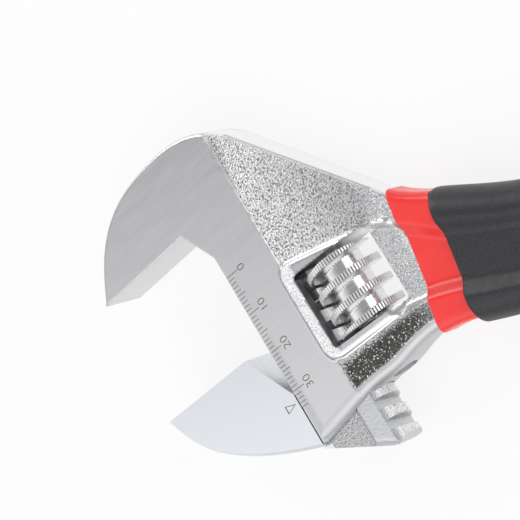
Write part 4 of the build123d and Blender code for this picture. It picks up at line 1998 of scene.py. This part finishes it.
    def build_grip(self) -> bpy.types.Object:
        """Black grip: grip sections with a rolled front lip and a rolled end, hollow over the sleeve.

        Returns:
            The piece.
        """
        start, end = self.grip_start, self.grip_end
        turn = np.radians(self.roll_angles)
        front = start + self.lip_depth * (1 - np.cos(turn))
        middle = np.linspace(start + self.grip_flat[0], end - self.grip_flat[1], self.grip_rows)
        back = end - self.roll_depth * (1 - np.cos(turn[::-1]))
        upright = np.full(self.grip_rows + len(turn), math.pi / 2)
        lip = self.lip_depth * (1 - np.sin(np.concatenate([turn, upright])))
        roll = self.roll_depth * (1 - np.sin(np.concatenate([upright, turn[::-1]])))
        outer = self.grip_section(np.concatenate([front, middle, back]), lip + roll)
        hollow = np.linspace(self.hollow_end, start, self.hollow_rows)
        inner = self.flanged_section(hollow, np.full(len(hollow), self.sleeve + self.layer_gap))
        rings = np.concatenate([inner, outer])
        count, around = rings.shape[:2]
        faces = grid_faces(count, around, False, True).tolist() + end_caps(count, around)
        obj = make_mesh("black_grip", rings.reshape(-1, 3), faces, self.grip_angle)
        face_out(obj.data)
        cut_away(obj, [self.hang_cutter()], self.grip_angle)
        return obj

    def hang_cutter(self) -> bpy.types.Object:
        """Flared post that cuts the hang hole with rolled rims: its radius grows near both faces.

        Returns:
            The cutter.
        """
        x0, radius = self.hang
        waist, parts = self.hang_waist
        rim, reach, sides = np.linspace(*self.hang_rim), self.hang_reach, self.hang_sides
        z = np.concatenate([[-reach], -rim[::-1], np.linspace(-waist, waist, parts), rim, [reach]])
        flare = smoothstep(*self.hang_flare_z, np.abs(z)) ** self.hang_flare_power
        r = (radius + self.hang_flare * flare)[:, None]
        turn = np.linspace(0.0, 2 * math.pi, sides, endpoint=False)
        x, y = x0 + r * np.cos(turn), TANG.centre_y + r * np.sin(turn)
        rings = np.stack([x, y, np.broadcast_to(z[:, None], x.shape)], axis=2)
        faces = grid_faces(len(z), sides, False, True).tolist() + end_caps(len(z), sides)
        obj = make_mesh("hang", rings.reshape(-1, 3), faces)
        face_out(obj.data)
        return obj

    def add(self) -> None:
        """Builds both layers and dresses them, in place of their solids."""
        place(self.build_sleeve(), Rider.FRAME, GlossSleeve().material(), "red_sleeve", "inner_grip")
        place(self.build_grip(), Rider.FRAME, MatteGrip().material(), "black_grip", "outer_grip")


@dataclass(frozen=True)
class Lamp:
    """Rectangular soft lamp: place and size in millimetres, power in watts."""

    name: str
    place: Triple
    size: Pair
    watts: float

    def hang(self, aim: Triple) -> None:
        """Adds the lamp to the scene.

        Args:
            aim: point that it faces, in millimetres.
        """
        data = bpy.data.lights.new(self.name, "AREA")
        data.shape, data.energy = "RECTANGLE", self.watts
        data.size, data.size_y = self.size[0] * MM, self.size[1] * MM
        obj = bpy.data.objects.new(self.name, data)
        obj.location = Vector(self.place) * MM
        obj.rotation_euler = (Vector(aim) - Vector(self.place)).to_track_quat("-Z", "Y").to_euler()
        bpy.context.scene.collection.objects.link(obj)


@dataclass
class Studio:
    """Pale floor, soft lamps and the camera at the photograph's angle."""

    lens: float = 103.85
    sensor: float = 36.0
    clip: Pair = (0.01, 20.0)
    eye: Triple = (250.7, 4.86, 261.9)
    right: Triple = (0.7494, -0.2308, -0.6210)
    down: Triple = (-0.1620, -0.9731, 0.1650)
    floor_z: float = -8.6
    floor_x: float = 100.0
    floor_half: float = 1600.0
    floor_parts: int = 24
    floor_dark: Colour = (0.95, 0.95, 0.95)
    floor_light: Colour = (0.97, 0.97, 0.97)
    floor_scale: float = 2.0
    floor_roughness: float = 0.9
    glow: float = 0.82
    sky: Colour = (0.95, 0.955, 0.97)
    high_sky: tuple[float, float, float, float] = (0.14, -0.22, 0.36, 1.30)
    low_sky: tuple[float, float, float, float] = (-0.2, 0.35, 0.28, 0.85)
    sky_split: tuple[float, float, float, float] = (0.18, 0.5, 0.0, 1.0)
    aim: Triple = (60.0, 0.0, 0.0)
    lamps: tuple[Lamp, ...] = (
        Lamp("key", (-430.0, 500.0, 390.0), (500.0, 300.0), 1.5),
        Lamp("side", (620.0, 260.0, 300.0), (260.0, 420.0), 0.8),
        Lamp("fill", (100.0, -520.0, 420.0), (900.0, 500.0), 0.4),
    )

    def camera(self) -> None:
        """Camera from its eye point and image axes."""
        data = bpy.data.cameras.new("camera")
        data.lens, data.sensor_width = self.lens, self.sensor
        data.clip_start, data.clip_end = self.clip
        obj = bpy.data.objects.new("camera", data)
        right = Vector(self.right).normalized()
        up = -Vector(self.down)
        up = (up - right * up.dot(right)).normalized()
        back = right.cross(up)
        rows = Matrix((right, up, back)).transposed()
        obj.matrix_world = Matrix.Translation(Vector(self.eye) * MM) @ rows.to_4x4()
        bpy.context.scene.collection.objects.link(obj)
        bpy.context.scene.camera = obj

    def floor_material(self) -> bpy.types.Material:
        """Pale floor that glows a little for the camera and for mirrors, and only there.

        Returns:
            The material.
        """
        book = NodeBook("pale_floor")
        cloud = book.ramp(book.noise(self.floor_scale, 2.0), *NOISE_SPAN, 0.0, 1.0)
        book.link(book.blend(cloud, self.floor_dark, self.floor_light), book.shader.inputs["Base Color"])
        book.shader.inputs["Roughness"].default_value = self.floor_roughness
        path = book.add("ShaderNodeLightPath").outputs
        seen = book.math("MAXIMUM", path["Is Camera Ray"], path["Is Glossy Ray"])
        seen = book.math("MAXIMUM", seen, path["Is Transmission Ray"])
        white = book.add("ShaderNodeEmission", Strength=1.0)
        mix = book.add("ShaderNodeMixShader")
        book.link(book.math("MULTIPLY", seen, self.glow), mix.inputs[0])
        book.link(book.shader.outputs["BSDF"], mix.inputs[1])
        book.link(white.outputs["Emission"], mix.inputs[2])
        book.link(mix.outputs["Shader"], book.tree.nodes["Material Output"].inputs["Surface"])
        return book.material

    def floor(self) -> None:
        """Wide pale floor, kept out of the object."""
        n = self.floor_parts
        side = np.linspace(-self.floor_half, self.floor_half, n)
        x, y = np.meshgrid(side, side, indexing="ij")
        verts = np.column_stack([x.ravel() + self.floor_x, y.ravel(), np.full(n * n, self.floor_z)])
        obj = make_mesh("floor", verts, grid_faces(n, n))
        face_up(obj.data)
        obj.data.materials.append(self.floor_material())

    def sky_ramp(self, tree: bpy.types.NodeTree, part: Socket, span: Sequence[float]) -> Socket:
        """Clamped straight remapping of one part of the view direction.

        Args:
            tree: the world's node tree.
            part: socket of that part.
            span: its two ends, and the result at each.

        Returns:
            The result socket.
        """
        node = tree.nodes.new("ShaderNodeMapRange")
        for socket, value in zip(node.inputs[1:5], span):
            socket.default_value = value
        tree.links.new(part, node.inputs["Value"])
        return node.outputs["Result"]

    def light(self) -> None:
        """World of soft grey-white, darker on one side, and three soft lamps."""
        world = bpy.data.worlds.new("studio")
        bpy.context.scene.world = world
        world.use_nodes = True
        tree = world.node_tree
        back = tree.nodes["Background"]
        back.inputs["Color"].default_value = (*self.sky, 1.0)
        split = tree.nodes.new("ShaderNodeSeparateXYZ")
        tree.links.new(tree.nodes.new("ShaderNodeTexCoord").outputs["Generated"], split.inputs[0])
        across, up = split.outputs["Y"], split.outputs["Z"]
        mix = tree.nodes.new("ShaderNodeMix")
        tree.links.new(self.sky_ramp(tree, up, self.sky_split), mix.inputs["Factor"])
        tree.links.new(self.sky_ramp(tree, across, self.low_sky), mix.inputs["A"])
        tree.links.new(self.sky_ramp(tree, across, self.high_sky), mix.inputs["B"])
        tree.links.new(mix.outputs["Result"], back.inputs["Strength"])
        for lamp in self.lamps:
            lamp.hang(self.aim)

    def set_up(self) -> None:
        """Adds the camera, the floor and the light."""
        self.camera()
        self.floor()
        self.light()


def clear_scene() -> None:
    """Removes what a fresh file holds."""
    for obj in list(bpy.data.objects):
        bpy.data.objects.remove(obj)


def main() -> None:
    """Loads the frame, builds each sub-assembly and sets the stage."""
    logging.basicConfig(level=logging.INFO, format="%(name)s: %(message)s")
    clear_scene()
    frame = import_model()
    bpy.context.scene.view_settings.view_transform = "Standard"

    steel = PinSteel().material()
    Forging().add()
    WormScrew().add()
    CoilSpring().add(steel)
    HandleSkins().add()
    ScaleMarks().add()
    keep(frame["nodes"]["movable_jaw"], JawChrome().material())
    keep(frame["nodes"]["worm_pin"], steel)
    Studio().set_up()


if __name__ == "__main__":
    main()
